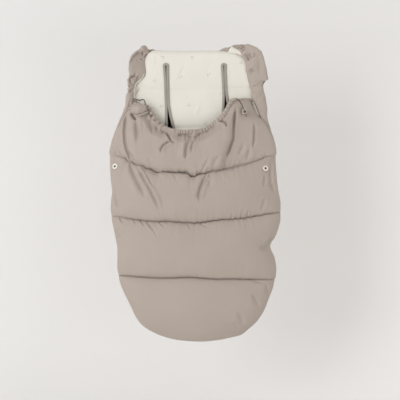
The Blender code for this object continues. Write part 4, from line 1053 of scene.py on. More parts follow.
def lining_points():
    """The lining's face: rolled over the top edge, then in padded panels down to the foot."""
    a = np.linspace(0, np.pi / 2, ROLLED_ROWS + 1)[:-1]
    over = LINING_TOP + LINING_BEND * (1 - np.sin(a))
    down = LINING_TOP + LINING_BEND * (1 - np.cos(np.linspace(0, np.pi / 2, 9)[1:]))
    rows = np.concatenate([over, down, np.linspace(55.4, 300, 244)])
    uu, rr = np.meshgrid(np.linspace(-1, 1, 221), rows)
    deep = np.clip((rr - 106) / 40, 0, 1)
    left, right = (
        np.interp(rr, *np.array(table).T) * (1 - deep) + (np.interp(rr, *edge) - side * LINING_BEND) * deep
        for table, edge, side in (
            (LINING_LEFT, (edge_rows, edge_left), LEFT), (LINING_RIGHT, (edge_rows_right, edge_right), RIGHT),
        )
    )
    px = (left + right) / 2 + (right - left) / 2 * uu
    sag = np.interp(px, (130, 190, 219, 233, 240, 250), (0, -0.4, 0.2, 1.4, 2.4, 3.4))
    py = rr + sag * np.clip(1 - (rr - LINING_TOP) / 12, 0, 1)
    in_side = (1 - np.abs(uu)) * (right - left) / 2
    share = ((rr - QUILT_ROW - (190 - px) * 0.02) / QUILT_PITCH) % 1
    quilt = np.sqrt(np.maximum(0.0, np.sin(np.pi * share)))
    side = np.clip(1 - in_side / 7.0, 0, 1)
    hollow = np.clip((rr - 136) / 16, 0, 1)
    forward = eased(np.clip((rr - 88) / 28, 0, 1)) * (1 - hollow)
    y = -(0.0225 + 0.0075 * quilt * (1 - side**3)) - 0.0085 * (1 - hollow)
    y -= (hollow + forward) * side**2 * 0.006 + forward * (1 - side) * 0.0070
    y -= np.clip((rr - 84) / 10, 0, 1) * side**3 * 0.0100
    y += 0.006 * (1 - hollow) * (1 - np.sqrt(np.maximum(0, 1 - side**2)))
    lead = np.arange(len(rows))[:, None] < ROLLED_ROWS
    bend = np.cos(np.concatenate([a, np.zeros(len(rows) - ROLLED_ROWS)]))[:, None]
    front = np.clip((rr - LINING_TOP) / LINING_BEND, 0, 1)
    y = np.where(lead, -0.010 - 0.008 * (1 - bend), -0.018 + (y + 0.018) * np.sqrt(1 - (1 - front) ** 2))
    return points_at(px, py, y), px, py


def slot_lines(word, front):
    """The two edges of a harness slot, from the top loop down, in pixels; straight behind."""
    rows = np.linspace(65.6, SLOT_FOOT, 60)
    left, right = (np.interp(rows, *np.array(table).T[::-1]) for table in SLOT_STRANDS[word])
    if front:
        return rows, left, right
    middle = np.linspace((left[0] + right[0]) / 2, (left[-1] + right[-1]) / 2, len(rows))
    return rows, middle - SLOT_BACK_GAP / 2, middle + SLOT_BACK_GAP / 2


def cut_slots(name, inner):
    """The faces of a sheet that lie in the harness slots taken out; the bindings cover the edges."""
    obj = bpy.data.objects[name]
    bm = bmesh.new()
    bm.from_mesh(obj.data)
    centres = np.array([face.calc_center_median() for face in bm.faces])
    if inner:
        px, py = seen(centres)
    else:
        px, py = column_of(centres[:, 0]), row_of(centres[:, 2])
    gone = np.zeros(len(centres), bool)
    for word in SLOT_STRANDS:
        rows, a, b = slot_lines(word, inner)
        gone |= (px > np.interp(py, rows, a)) & (px < np.interp(py, rows, b))
    gone &= (py > SLOT_TOP) & (py < SLOT_FOOT)
    bm.faces.ensure_lookup_table()
    bmesh.ops.delete(bm, geom=[bm.faces[int(k)] for k in np.flatnonzero(gone)], context="FACES")
    bm.to_mesh(obj.data)
    bm.free()


def back_lining():
    """The cream quilted lining, with its creases."""
    points, px, py = lining_points()
    out = normals(points)
    out[..., 1] = -np.abs(out[..., 1])
    soft = noise_grid(px / 17.0, py / 15.0, 41) * 0.0016 + noise_grid(px / 8.0, py / 7.0, 42) * 0.0005
    points = points + out * soft[..., None]
    points = puckered(points, out, ((100, 300), (QUILT_ROW, QUILT_ROW)), 3.0, 0.0009, 43)
    points = folded(points, LINING_FOLDS, out)
    piece = cloth("back_lining_quilted", points, lining_cloth, "bag", CLOTH_THICKNESS)
    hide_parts("back_lining", "back_wadding")
    return points


LINING_FOLDS = (
    (((185.6, 64), (182, 71), (176.4, 82)), 1.6, 0.0012, 0.8, 0.4),
    (((201, 101), (197, 110), (192.6, 120)), 1.8, -0.0014, 0.6, 0.4),
    (((155, 53), (156.4, 60), (156, 68)), 1.6, 0.0012, 0.5, 0.4),
    (((240, 88), (232, 87.4), (226, 87.8)), 1.2, 0.0012, 0.4, 0.4),
    (((137, 91), (147, 89.8), (158, 89.6)), 1.4, 0.0012, 0.4, 0.4),
    (((142, 88.4), (138, 89.6), (135.8, 92.6), (135.2, 97.4)), 1.8, 0.0055, -0.5, 0.35),
    (((139, 84), (146, 86.6), (152, 90)), 1.8, 0.0014, -0.6, 0.4),
    (((213, 60), (208, 68), (206, 78)), 2.2, 0.0010, 0.5, 0.4),
)
lining_face = back_lining()
cut_slots("back_lining_quilted", True)


# The harness slots: a strip of binding round each, in front and behind, and the wall between in near-black
# cloth, painted shade inside the slots

def slot_path(word, front):
    """The closed line round a slot, on the lining or on the back."""
    rows, a, b = slot_lines(word, front)

    def end(k, way, reach):
        """The half round at the slot's foot or top."""
        middle, half = (a[k] + b[k]) / 2, (b[k] - a[k]) / 2
        turns = np.linspace(0, np.pi, 9)[1:-1]
        return [(middle - way * half * math.cos(t), rows[k] + way * reach * math.sin(t)) for t in turns]

    line = np.array([*zip(a, rows), *end(-1, 1, 2.2), *zip(b[::-1], rows[::-1]), *end(0, -1, 1.3)])
    if front:
        face = lining_face[ROLLED_ROWS:]
        return np.array([at_pixel(x, row, depth_at(face, x, row) - 0.0012) for x, row in line])
    return np.array([(across_of(x), -0.0006, height_of(row)) for x, row in line])


def slot_binding(word):
    """The bound edges of one slot."""
    for front, name in ((True, "front"), (False, "back")):
        path = slot_path(word, front)
        across, out = frames(path, FRONT if front else -FRONT, closed=True)
        section = ring(0.0040 if front else 0.0035, 0.0026 if front else 0.0016, 14, 0.8)
        grid = swept(path, across, out, section)
        grid = np.concatenate([grid, grid[:1]])
        piece = cloth(f"slot_binding_{word}_{name}", grid, binding_cloth, "bag", closed=True,
                      flip=not front)
        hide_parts(f"slot_binding_{word}")
    ahead, behind = slot_path(word, True), slot_path(word, False)
    wall = np.stack([ahead * (1 - t) + behind * t for t in (0.03, 0.35, 0.65, 0.97)])
    wall = np.concatenate([wall, wall[:, :1]], axis=1)
    piece = cloth(f"slot_wall_{word}", wall, slot_shade_cloth, "bag", 0.0012, closed=True)
    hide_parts(f"slot_binding_{word}")


slot_binding("left")
slot_binding("right")


# The outer cloth of the back, drawn round the sides to the rolls and to the front's seam

BACK_INSET = 0.002
BACK_ROUND = 0.034
TOP_ROUND = 0.012


def back_points(u, row):
    """Points of the back's outside: 0 to 1 down to the foot, 1 to 2 round the foot."""
    z = np.where(row <= 1, PAD_TOP - row * (PAD_TOP - FOOT_TOP), 0.0)
    width = width_at(u, z) - BACK_INSET
    s = np.clip(row - 1, 0, 1)
    across, down = u * np.sqrt(1 - s * s / 2), s * np.sqrt(1 - u**2 / 2)
    full = width_at(u, FOOT_TOP)
    low = FOOT_TOP - FOOT_LENGTH * down
    x = np.where(row <= 1, u * width, fitted(across * full, u, down, width_at(u, low) - BACK_INSET))
    z = np.where(row <= 1, z, low)
    side = np.clip(1 - (1 - np.abs(u)) * np.where(row > 1, full, width) / BACK_ROUND, 0, 1)
    end = np.where(row > 1, np.clip(1 - (1 - s) * FOOT_LENGTH / BACK_ROUND, 0, 1), 0)
    top = np.clip(1 - (PAD_TOP - z) / TOP_ROUND, 0, 1)
    rim = 1 - (1 - side) * (1 - end)
    y = EDGE_Y * (1 - np.sqrt(1 - rim * rim))
    y = np.minimum(y, -0.011 * (1 - np.sqrt(1 - top * top)))
    return np.stack([x, y, z], axis=-1)


def back_cloth():
    """The taupe cloth behind, with the quilting pulled in from the lining's side."""
    rows = np.concatenate([spread(9, 0.2)[:-1] * 0.05, np.linspace(0.05, 1, 150), 1 + spread(60, 0.3)[1:]])
    points = back_points(*np.meshgrid(crowded(161, 0.7), rows))
    px, py = column_of(points[..., 0]), row_of(points[..., 2])
    share = ((py - QUILT_ROW) / QUILT_PITCH) % 1
    flat = np.clip(-points[..., 1] / TOP_ROUND, 0, 1)
    line = np.exp(-(np.minimum(share, 1 - share) * QUILT_PITCH / 1.8) ** 2) * (1 - flat)
    swell = noise_grid(px / 24.0, py / 20.0, 51) * 0.0014 + noise_grid(px / 10.0, py / 9.0, 52) * 0.0006
    points[..., 1] += -0.0030 * line + (swell - 0.0016) * (1 - flat)
    piece = cloth("back_cloth_sewn", points, shell_cloth, "bag", CLOTH_THICKNESS, flip=True)
    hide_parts("back_shell", "back_wadding")


back_cloth()
cut_slots("back_cloth_sewn", False)


# The side rolls: puffed from the zip up, with ruched rims where they swell into the ears

EAR_LEFT = (
    ((161, 52.2), (161, 50.6)), ((157, 53.4), (155.2, 50.4)), ((154, 54.4), (152.2, 48.6)),
    ((151.6, 55.6), (149.6, 49.0)), ((149.6, 57.4), (147.4, 47.8)), ((148.2, 59.6), (144.6, 45.8)),
    ((147.6, 62), (141.6, 47.4)), ((147.2, 65.4), (137.2, 50.2)), ((147.0, 69), (131.4, 56)),
    ((146.4, 72.4), (128.4, 61.6)), ((145.2, 75.8), (128.3, 68)), ((142.4, 78.8), (129, 74.6)),
    ((139.2, 81), (126, 79.6)), ((136.6, 83.4), (127.3, 83.4)), ((134.8, 86.6), (127.6, 88)),
    ((134.0, 90.6), (127.9, 91.4)), ((133.6, 95), (126.4, 96)), ((133.0, 103), (125.2, 104)),
    ((130.0, 110), (122.8, 112)), ((126.6, 117), (120.4, 119)), ((123, 124), (118, 126)),
    ((119.8, 132), (115.0, 133)), ((116.8, 140), (111.8, 141)), ((114, 147), (109.8, 147.6)),
    ((111.2, 153.4), (109.2, 154)),
)
EAR_RIGHT = (
    ((217.6, 52.2), (217.6, 50.9)), ((222, 53.6), (222.4, 49.2)), ((226, 54.4), (227.2, 47.4)),
    ((230, 55.4), (230.8, 45.2)), ((234, 56.4), (234.4, 44.2)), ((238.4, 58.4), (240.4, 43.7)),
    ((241.6, 61.4), (248, 43.5)), ((243.6, 64.4), (255.8, 47.0)), ((244.6, 67), (261.6, 51.4)),
    ((245.4, 70), (264.4, 58)), ((246.2, 73), (266, 65)), ((247.0, 76), (267.4, 71)),
    ((247.8, 80), (267.9, 76)), ((248.8, 83), (268.1, 79.2)), ((249.6, 86.4), (263.6, 82.0)),
    ((250.2, 88.8), (263.0, 85)), ((250.8, 91.6), (263.9, 87.6)), ((251.0, 94.4), (264.5, 91)),
    ((251.8, 97.8), (265.2, 96)), ((253.8, 101.8), (265.8, 101)), ((256.4, 108), (266.8, 109)),
    ((259.4, 115), (267.6, 116)), ((262.4, 122), (268.6, 123)), ((266.4, 129), (270.8, 130)),
    ((270.2, 137), (273.4, 137)), ((273.0, 145), (275.2, 145)), ((275, 153), (276, 153.6)),
)
# Where the ears' rims are ruched: column, row and reach of each patch
RUCHED = {
    "left": ((141.5, 51, 5.5), (148, 52, 6.5), (131, 80.5, 6.5), (129, 88, 5)),
    "right": (
        (224, 50, 5.5), (232, 47.6, 7), (238, 47.6, 7), (243, 50.4, 6.5), (247.6, 56.4, 5.5), (251.6, 71, 4),
    ),
}
EAR_FOLDS = (
    (((129.4, 78.8), (131.6, 77.4), (134.6, 76.6), (137, 77.2)), 1.6, 0.0095, 0.7, 0.25),
    (((135.6, 72.0), (135, 75), (133.8, 77.8)), 1.0, 0.0040, 0.5, 0.35),
    (((129.6, 78), (130.8, 81.4), (132.4, 84.8)), 1.3, 0.0075, -0.7, 0.25),
    (((138.8, 75), (137.6, 78), (136.8, 81)), 1.1, 0.0055, 0.6, 0.3),
    (((127.8, 84.4), (129.2, 85.4), (131, 86.4)), 1.0, 0.0050, 0.6, 0.3),
    (((128.2, 90.4), (130, 91.2), (132, 91)), 1.2, 0.0045, -0.6, 0.3),
    (((143.4, 50), (142.9, 52), (142.3, 55.4)), 1.3, 0.0080, 0.6, 0.3),
    (((144, 57.6), (145.6, 56), (148, 53.6)), 1.2, 0.0070, -0.7, 0.3),
    (((148.6, 52.4), (150.4, 51.4), (152.6, 50.4)), 1.1, 0.0060, -0.7, 0.3),
    (((145.4, 47.4), (147.4, 49.6), (148.2, 51.6)), 1.0, 0.0045, 0.6, 0.3),
    (((139.6, 58.4), (141.6, 59.2), (144, 59.4)), 1.2, 0.0042, 0.6, 0.35),
    (((136, 60.6), (138, 60.4), (140, 60.6)), 1.0, 0.0022, 0.6, 0.4),
    (((240.8, 43.6), (242.2, 45), (244, 46.8), (245.8, 48.4)), 1.0, 0.0095, -0.5, 0.3),
    (((236.2, 46.6), (237.6, 45.4), (239.4, 44.4)), 0.9, 0.0060, 0.6, 0.3),
    (((237.4, 49), (239, 47.6), (240.6, 46)), 0.9, 0.0055, 0.6, 0.3),
    (((239.8, 49.4), (241.4, 48.2), (242.6, 46.8)), 0.9, 0.0060, 0.6, 0.3),
    (((242.2, 51), (243.8, 49.6), (245.2, 48.8)), 0.9, 0.0055, 0.6, 0.3),
    (((243.4, 54.8), (245.6, 54.6), (247.2, 55.8), (248, 58.4), (248.5, 61.2)),
     1.2, 0.0085, 0.7, 0.2),
    (((249.0, 53), (250.2, 55.6), (251.4, 58.6)), 1.2, 0.0062, 0.7, 0.3),
    (((255.6, 51.6), (254.8, 54.4), (253.8, 57.4)), 1.3, 0.0052, -0.7, 0.3),
    (((249.6, 67.6), (250.8, 70.4), (250.6, 72.6), (249.2, 74.8)), 1.1, 0.0048, 0.6, 0.3),
    (((252.2, 68.2), (252.8, 70.6), (253.3, 73.4)), 1.1, 0.0042, 0.6, 0.3),
    (((259, 53), (259.8, 63.5), (259.4, 76)), 4.6, 0.0070, -0.4, 0.4),
    (((249.8, 86), (256, 84.6), (262, 81.4), (267, 80.8)), 1.5, 0.0050, 0.7, 0.3),
    (((255, 100), (260, 96), (265, 90)), 2.2, 0.0024, 0.5, 0.4),
    (((131.8, 96), (130.4, 102), (127.4, 108)), 1.5, 0.0024, 0.5, 0.4),
    (((131.0, 103.6), (128.6, 107.4), (125.2, 112.4), (122.2, 117.6), (119.8, 122.4), (117.4, 129)),
     1.0, 0.0046, 0.3, 0.2),
)


def side_roll(word, table):
    """One side roll, in the ear's whole length."""
    table = np.array(table, float)
    count, seed = 360, 61 if word == "left" else 66
    place = np.concatenate([[0], np.cumsum(np.hypot(*np.diff(table.mean(axis=1), axis=0).T) + 0.4)])
    grid = np.linspace(0, place[-1], count)
    inner, outer = (
        np.stack([np.interp(grid, place, table[:, k, c]) for c in (0, 1)], axis=-1) for k in (0, 1)
    )
    t = np.linspace(0, 1, count)[:, None]
    a = np.linspace(0, 2 * np.pi, 81)[None, :]
    c, d = np.cos(a), np.sin(a)
    across = (1 - np.sign(c) * np.abs(c) ** 0.9) / 2
    px = inner[:, :1] * (1 - across) + outer[:, :1] * across
    py = inner[:, 1:] * (1 - across) + outer[:, 1:] * across
    width = np.hypot(*(outer - inner).T)[:, None]
    thin = np.clip(width / 7.0, 0.12, 1) ** 0.7
    ends = np.clip(np.minimum(t, 1 - t) * 14, 0, 1)
    front = (0.0130 - 0.0045 * np.clip((t - 0.58) / 0.08, 0, 1)) * thin * np.sqrt(ends)
    tip = eased(np.clip((t - 0.08) / 0.26, 0, 1))
    low = np.clip((t - 0.46) / 0.08, 0, 1)
    edge = -0.013 + (-0.0175 - 0.0170 * low) * tip
    far = -0.013 - 0.0345 * tip
    y = edge * (1 - across) + far * across - front * (0.55 + 0.45 * tip) * np.sign(d) * np.abs(d) ** 0.75
    points = points_at(px, py, y)
    out = normals(points) * (-1 if word == "left" else 1)
    run = run_along((inner + outer) / 2)[:, None]
    rim = np.zeros(px.shape)
    for x, row, reach in RUCHED[word]:
        rim = np.maximum(rim, np.exp(-((px - x) ** 2 + (py - row) ** 2) / reach**2 * 1.2))
    gathers = ridges(run / 3.4, across * 1.3 + seed, seed) - 0.40
    fine = ridges(run / 1.7, across * 2.4, seed + 1) - 0.40
    swell = noise_grid(px / 9.0, py / 9.0, seed + 2) * 0.0022
    lift = rim * (0.0085 * gathers + 0.0050 * fine) + swell * thin
    points = points + out * (lift * ends)[..., None]
    points = folded(points, EAR_FOLDS, out * np.clip(d, 0, 1)[..., None])
    piece = cloth(f"side_roll_{word}_puffed", points, shell_cloth, "bag", closed=True,
                  flip=word == "right")
    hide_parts(f"side_roll_{word}")


side_roll("left", EAR_LEFT)
side_roll("right", EAR_RIGHT)


# The gathered tunnel along the neckline

CASING_LINE = (
    (-0.1515, -0.0600, -0.1400), (-0.1458, -0.0618, -0.1486), (-0.1380, -0.0655, -0.1634),
    (-0.1292, -0.0684, -0.1785), (-0.1191, -0.0709, -0.1916), (-0.1085, -0.0733, -0.2036),
    (-0.0963, -0.0754, -0.2132), (-0.0826, -0.0772, -0.2200), (-0.0680, -0.0788, -0.2246),
    (-0.0523, -0.0801, -0.2262), (-0.0357, -0.0809, -0.2264), (-0.0185, -0.0814, -0.2262),
    (-0.0019, -0.0816, -0.2256), (0.0138, -0.0814, -0.2236), (0.0288, -0.0809, -0.2200),
    (0.0425, -0.0802, -0.2137), (0.0546, -0.0794, -0.2040), (0.0671, -0.0785, -0.1938),
    (0.0783, -0.0775, -0.1816), (0.0884, -0.0765, -0.1690), (0.0971, -0.0755, -0.1541),
    (0.1024, -0.0755, -0.1420), (0.1068, -0.0768, -0.1345), (0.1122, -0.0790, -0.1302),
    (0.1180, -0.0808, -0.1286), (0.1232, -0.0825, -0.1298),
)


# Half the casing's height, as columns and metres
CASING_HEIGHTS = (
    (138, 0.0090), (144, 0.0104), (150, 0.0118), (162, 0.0118), (168, 0.0096), (176, 0.0068), (206, 0.0068),
    (214, 0.0080), (224, 0.0072), (238, 0.0052),
)


def neckline_casing():
    """The ruched casing, pleated across its run by the cord inside."""
    path = along_line(CASING_LINE, 640)
    px, _ = seen(path)
    fade = ends_fade(np.linspace(0, 1, len(path)), 16)[:, None]
    out = np.array([(0.0, -1.0, 0.12)] * len(path))
    out[:, 0] = np.interp(px, (138, 170, 210, 233), (-0.5, -0.15, 0.15, 0.5))
    base = ring(1.0, 1.0, 26, 0.85)
    run = run_along(path) / PIXEL
    angle = np.arctan2(base[:, 1], base[:, 0])[None]
    pitch = np.interp(px, (138, 160, 172, 215, 225, 236), (5.4, 5.2, 3.2, 3.2, 4.0, 4.6))
    phase = np.concatenate([[0], np.cumsum(np.diff(run) / pitch[1:])])[:, None]
    phase = phase + 0.32 * noise_grid(phase / 1.4, angle * 0.5 + 3, 71) + 0.10 * np.sin(angle * 1.5)
    sharp = np.interp(px, (166, 178), (1.1, 0.7))[:, None]
    pleat = np.abs(np.sin(np.pi * phase)) ** sharp * (0.72 + 0.28 * noise_grid(phase * 0.7, angle, 73))
    fine = ridges(run[:, None] / 1.5, angle * 0.4 + 9, 72)
    calm = np.interp(px, (136, 142, 168, 178, 210, 222), (0.7, 1.45, 1.40, 1.05, 1.0, 0.75))[:, None]
    tall = np.interp(px, *np.array(CASING_HEIGHTS).T)[:, None]
    drop = np.interp(px, (140, 150, 162, 170), (0, 0.0026, 0.0026, 0))[:, None]
    half_up = tall * fade * (1 + calm * (0.30 * (pleat - 0.65) + 0.12 * (fine - 0.5)))
    half_out = 0.0064 * fade * (1 + calm * (1.05 * (pleat - 0.62) + 0.3 * (fine - 0.5)))
    section = np.stack([base[None, :, 0] * half_up + drop, base[None, :, 1] * half_out], axis=-1)
    piece = tube("neckline_casing", path, unit(out), section, shell_cloth, "upper_cover")
    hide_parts("neckline_tunnel")


neckline_casing()


# The rolled corner and the fold under it: column, row and height over the cover's face
HEM_RADIUS = 0.003
PUFF_LINE = (
    (146.2, 111.0, -0.002), (143.2, 109.2, 0.007), (138.8, 108.9, 0.009), (134.8, 109.6, 0.007),
    (131.2, 112.0, 0.001),
)
PUFF_FOLD = (
    (149.4, 111.6, 0.001), (146.6, 112.6, 0.005), (143, 114.2, 0.006), (139.6, 115.2, 0.005),
    (136.6, 115.4, 0.0),
)
PUFF_WAY = np.array((-0.2, -1.0, 0.0))


def hem(name, points):
    """A turned edge along a row of points."""
    path = along_line(points, max(30, len(points)))
    fade = ends_fade(np.linspace(0, 1, len(path)), 20)[:, None, None]
    section = ring(HEM_RADIUS, HEM_RADIUS * 0.8, 12, 0.9) * fade
    piece = tube(name, path, FRONT, section, shell_cloth, "upper_cover")


def on_cover(line, count):
    """A line of pixels, each with its height over the upper cover's face, as a path."""
    points = [at_pixel(x, row, depth_at(cover_points, x, row) - lift) for x, row, lift in line]
    return along_line(points, count)


def flaps():
    """The cover's two top corners: the left rolled over into a puff, the right with a plain hem."""
    top = cover_points[0]
    px, _ = seen(top)
    hem("cover_hem_left", top[(px > 138) & (px < 146)][::-1])
    hem("cover_hem_right", top[px > 226])
    path = on_cover(PUFF_LINE, 120)
    t = np.linspace(0, 1, len(path))[:, None]
    fade = np.sqrt(np.maximum(0, 1 - np.abs(2 * t - 1) ** 2.6))
    base = ring(0.0146, 0.0100, 32, 0.95)
    run = t * 46
    angle = np.arctan2(base[:, 1], base[:, 0])[None]
    near = np.exp(-t / 0.20) + 0.5 * np.exp(-(1 - t) / 0.12)
    scale = 1 + 0.30 * near * (ridges(run / 2.6, angle * 0.8 + 7, 81) - 0.45)
    scale = scale + 0.06 * noise_grid(run / 6, angle, 82)
    scale = scale - 0.16 * np.exp(-(((angle + 0.9) - 0.5 * (t - 0.5)) / 0.20) ** 2) * np.clip(t * 5, 0, 1)
    section = base * (fade * scale)[..., None]
    piece = tube("cover_corner_rolled", path, PUFF_WAY, section, shell_cloth, "upper_cover")
    path = on_cover(PUFF_FOLD, 90)
    section = ring(0.0034, 0.0042, 18, 0.9) * ends_fade(np.linspace(0, 1, len(path)), 4, 0.6)[:, None, None]
    piece = tube("cover_corner_fold", path, PUFF_WAY, section, shell_cloth, "upper_cover")


flaps()


PIPING_LINE = (
    (144.2, 73), (143.2, 75.9), (140.2, 79.7), (136.4, 83), (134.4, 87.4), (133.6, 92.5), (133.4, 97),
    (133.4, 100.4),
)
CORNER_LOW = ((227.8, 53.4), (233, 53.4), (237.6, 54.2), (242, 56.6))
CORNER_HIGH = ((228.2, 51.4), (230, 47.8), (232.2, 46.6), (235.4, 48.3), (239.9, 50.6), (243, 55.4))


def lining_edges():
    """The piped edge of the lining at the left, and its fold that shows behind it at the right."""
    path = along_line([at_pixel(x, row, -0.0405) for x, row in PIPING_LINE], 80)
    section = ring(0.0020, 0.0022, 12) * ends_fade(np.linspace(0, 1, len(path)), 12)[:, None, None]
    piece = tube("lining_piping", path, FRONT, section, lining_cloth, "bag")
    low, high = along_line(CORNER_LOW, 60), along_line(CORNER_HIGH, 60)
    a = np.linspace(0, 2 * np.pi, 25)[None, :]
    share = (1 - np.cos(a)) / 2
    px = low[:, :1] * (1 - share) + high[:, :1] * share
    py = low[:, 1:] * (1 - share) + high[:, 1:] * share
    t = np.linspace(0, 1, 60)[:, None]
    y = -0.0250 - 0.0050 * np.sin(a) * np.clip(np.minimum(t, 1 - t) * 8, 0.1, 1)
    piece = cloth("lining_fold_right", points_at(px, py, y), lining_cloth, "bag", closed=True, flip=True)


lining_edges()


# The spring inside the cord lock

SPRING_WIRE = 0.00035
SPRING_TURNS = 3


def lock_spring():
    """A helix as long and as wide as the CAD model's, held at the barrel's floor."""
    low, high = (np.array(corner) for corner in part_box("cord_lock_spring"))
    middle = (low + high) / 2
    reach = (high - low) / 2 - SPRING_WIRE
    t = np.linspace(-1, 1, SPRING_TURNS * 36)
    turn = np.pi * SPRING_TURNS * t
    path = middle + np.stack([reach[0] * np.cos(turn), reach[1] * t, reach[2] * np.sin(turn)], axis=-1)
    way = np.stack([np.cos(turn), 0 * turn, np.sin(turn)], axis=-1)
    fade = np.clip(np.arange(len(path))[::-1] * np.arange(len(path)), 0, 1)[:, None, None]
    section = ring(SPRING_WIRE, SPRING_WIRE, 10) * fade
    piece = tube("cord_lock_spring_wound", path, way, section, steel, "upper_cover")
    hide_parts("cord_lock_spring")
    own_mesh(piece)
    return piece


wound_spring = lock_spring()


# The drawcord's free ends: the loop to the left corner, and the run into the cord lock

LOOP_LINE = (
    (-0.14616, -0.06108, -0.14790), (-0.14821, -0.06118, -0.14425), (-0.14999, -0.06105, -0.14047),
    (-0.15092, -0.06048, -0.13643), (-0.15210, -0.05962, -0.13252), (-0.15448, -0.05845, -0.12929),
    (-0.15783, -0.05702, -0.12739), (-0.16154, -0.05572, -0.12866), (-0.16506, -0.05455, -0.13060),
)
END_LINE = (
    (0.09711, -0.07269, -0.14045), (0.09866, -0.07244, -0.13679), (0.10075, -0.07267, -0.13345),
    (0.10360, -0.07388, -0.13094), (0.10672, -0.07542, -0.12901), (0.11020, -0.07693, -0.12781),
    (0.11388, -0.07827, -0.12708), (0.11763, -0.07959, -0.12679), (0.12133, -0.08096, -0.12727),
    (0.12466, -0.08241, -0.12887), (0.12751, -0.08391, -0.13121), (0.13005, -0.08532, -0.13394),
    (0.13238, -0.08655, -0.13694), (0.13455, -0.08749, -0.14014), (0.13649, -0.08805, -0.14358),
    (0.13817, -0.08833, -0.14718), (0.13970, -0.08847, -0.15086), (0.14116, -0.08852, -0.15457),
    (0.14260, -0.08855, -0.15829), (0.14412, -0.08865, -0.16197), (0.14557, -0.08861, -0.16568),
    (0.14704, -0.08859, -0.16939), (0.14851, -0.08859, -0.17310), (0.14999, -0.08859, -0.17680),
)
CORD = 0.003


def cord_tube(name, line):
    """A round cord along a line of points, its braid on its own UVs."""
    line, sides = np.array(line), 12
    path = along_line(line, 6 * len(line))
    path[0], path[-1] = line[0], line[-1]
    ahead = unit(np.gradient(path, axis=0))
    out = unit(np.cross(ahead, (0.31, 0.52, 0.8)))
    grid = swept(path, np.cross(ahead, out), out, ring(CORD / 2, CORD / 2, sides))
    grid = np.concatenate([path[:1, None].repeat(sides + 1, 1), grid, path[-1:, None].repeat(sides + 1, 1)])
    run = run_along(path)
    places = np.concatenate([run[:1], run, run[-1:]])
    uv = np.stack(np.broadcast_arrays(places[:, None], np.linspace(0, 1, sides + 1)[None]), axis=-1)
    piece = cloth(name, grid, cord_cloth, "upper_cover", closed=True, uv=uv)
    return piece, [tuple(p) for p in path], float(run[-1])


def cords():
    """Both free ends of the drawcord."""
    piece, path, length = cord_tube("drawcord_loop", LOOP_LINE)
    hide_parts("drawcord_loop_left")
    piece, path, length = cord_tube("drawcord_end", END_LINE)
    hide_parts("drawcord_end_right")


cords()


# Zips: the tape and the coil of each half, down the upper zips and the closed stretch below

ZIPS = {
    "left": ((-0.178032, -0.0499, ZIP_TOP), (-0.385001, 0.0, -0.922916), (-0.922916, 0.0, 0.385001)),
    "right": ((0.168053, -0.0499, ZIP_TOP), (0.370166, 0.0, -0.928966), (0.928966, 0.0, 0.370166)),
}
ZIP_LENGTH = 0.1735
TAPE_WIDTH = 0.0078
TOOTH_PITCH = 0.0015
TOOTH_LEAN = 0.0004
# A tooth's half width along the zip and half height, and its size at shares of its length
TOOTH_WIDE, TOOTH_TALL = 0.00052, 0.00085
TOOTH_SHAPE = ((0.0, 0.55), (0.12, 1.0), (0.85, 1.0), (1.0, 0.6))
TOOTH_SIDES = 6


def coil(name, centres, ahead, across, out, body, near, far):
    """The coil of one half of a zip: a small rounded bar for each turn."""
    bm = bmesh.new()
    turns = [2 * math.pi * k / TOOTH_SIDES for k in range(TOOTH_SIDES)]
    for centre, way, side, up in zip(centres, ahead, across, out):
        rings = []
        for share, size in TOOTH_SHAPE:
            middle = centre + side * (near + (far - near) * share) + way * (TOOTH_LEAN * share)
            wide, tall = way * TOOTH_WIDE * size, up * TOOTH_TALL * size
            rings.append([bm.verts.new(middle + wide * math.cos(a) + tall * math.sin(a)) for a in turns])
        for low, high in zip(rings, rings[1:]):
            for k in range(TOOTH_SIDES):
                following = (k + 1) % TOOTH_SIDES
                bm.faces.new((low[k], low[following], high[following], high[k]))
        bm.faces.new(rings[0][::-1])
        bm.faces.new(rings[-1])
    bmesh.ops.recalc_face_normals(bm, faces=bm.faces)
    piece = made(name, bm, coil_plastic, body)
    return piece


def upper_zips():
    """Both halves of both upper zips."""
    for word, (top, along, across) in ZIPS.items():
        top, along, across = np.array(top), np.array(along), np.array(across)
        for part, way, body in (("side", 1, "bag"), ("cover", -1, "upper_cover")):
            t = np.linspace(0.0005, ZIP_LENGTH, 180)[:, None]
            w = np.array([0.0012, 0.0024, 0.0040, 0.0060, TAPE_WIDTH])[None, :]
            wave = 0.0003 * noise_grid(t * 90, w * 100, 91 + way)
            points = top + t[..., None] * along + (way * w)[..., None] * across
            points = points + FRONT * (wave * (w / TAPE_WIDTH) - 0.0002)[..., None]
            piece = cloth(f"{part}_zip_strip_{word}", points, zip_cloth, body, 0.0008,
                          flip=(way < 0) == (word == "right"))
            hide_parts(f"{part}_zip_tape_{word}")
            steps = np.arange(0.001, ZIP_LENGTH - 0.001, TOOTH_PITCH) + (0 if way > 0 else TOOTH_PITCH / 2)
            centres = top + steps[:, None] * along + FRONT * 0.0006
            ways, sides, fronts = ([line] * len(steps) for line in (along, across * way, FRONT))
            piece = coil(f"{part}_zip_coil_{word}", centres, ways, sides, fronts, body, 0.0010, 0.0038)
            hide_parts(f"{part}_zip_tape_{word}")


upper_zips()


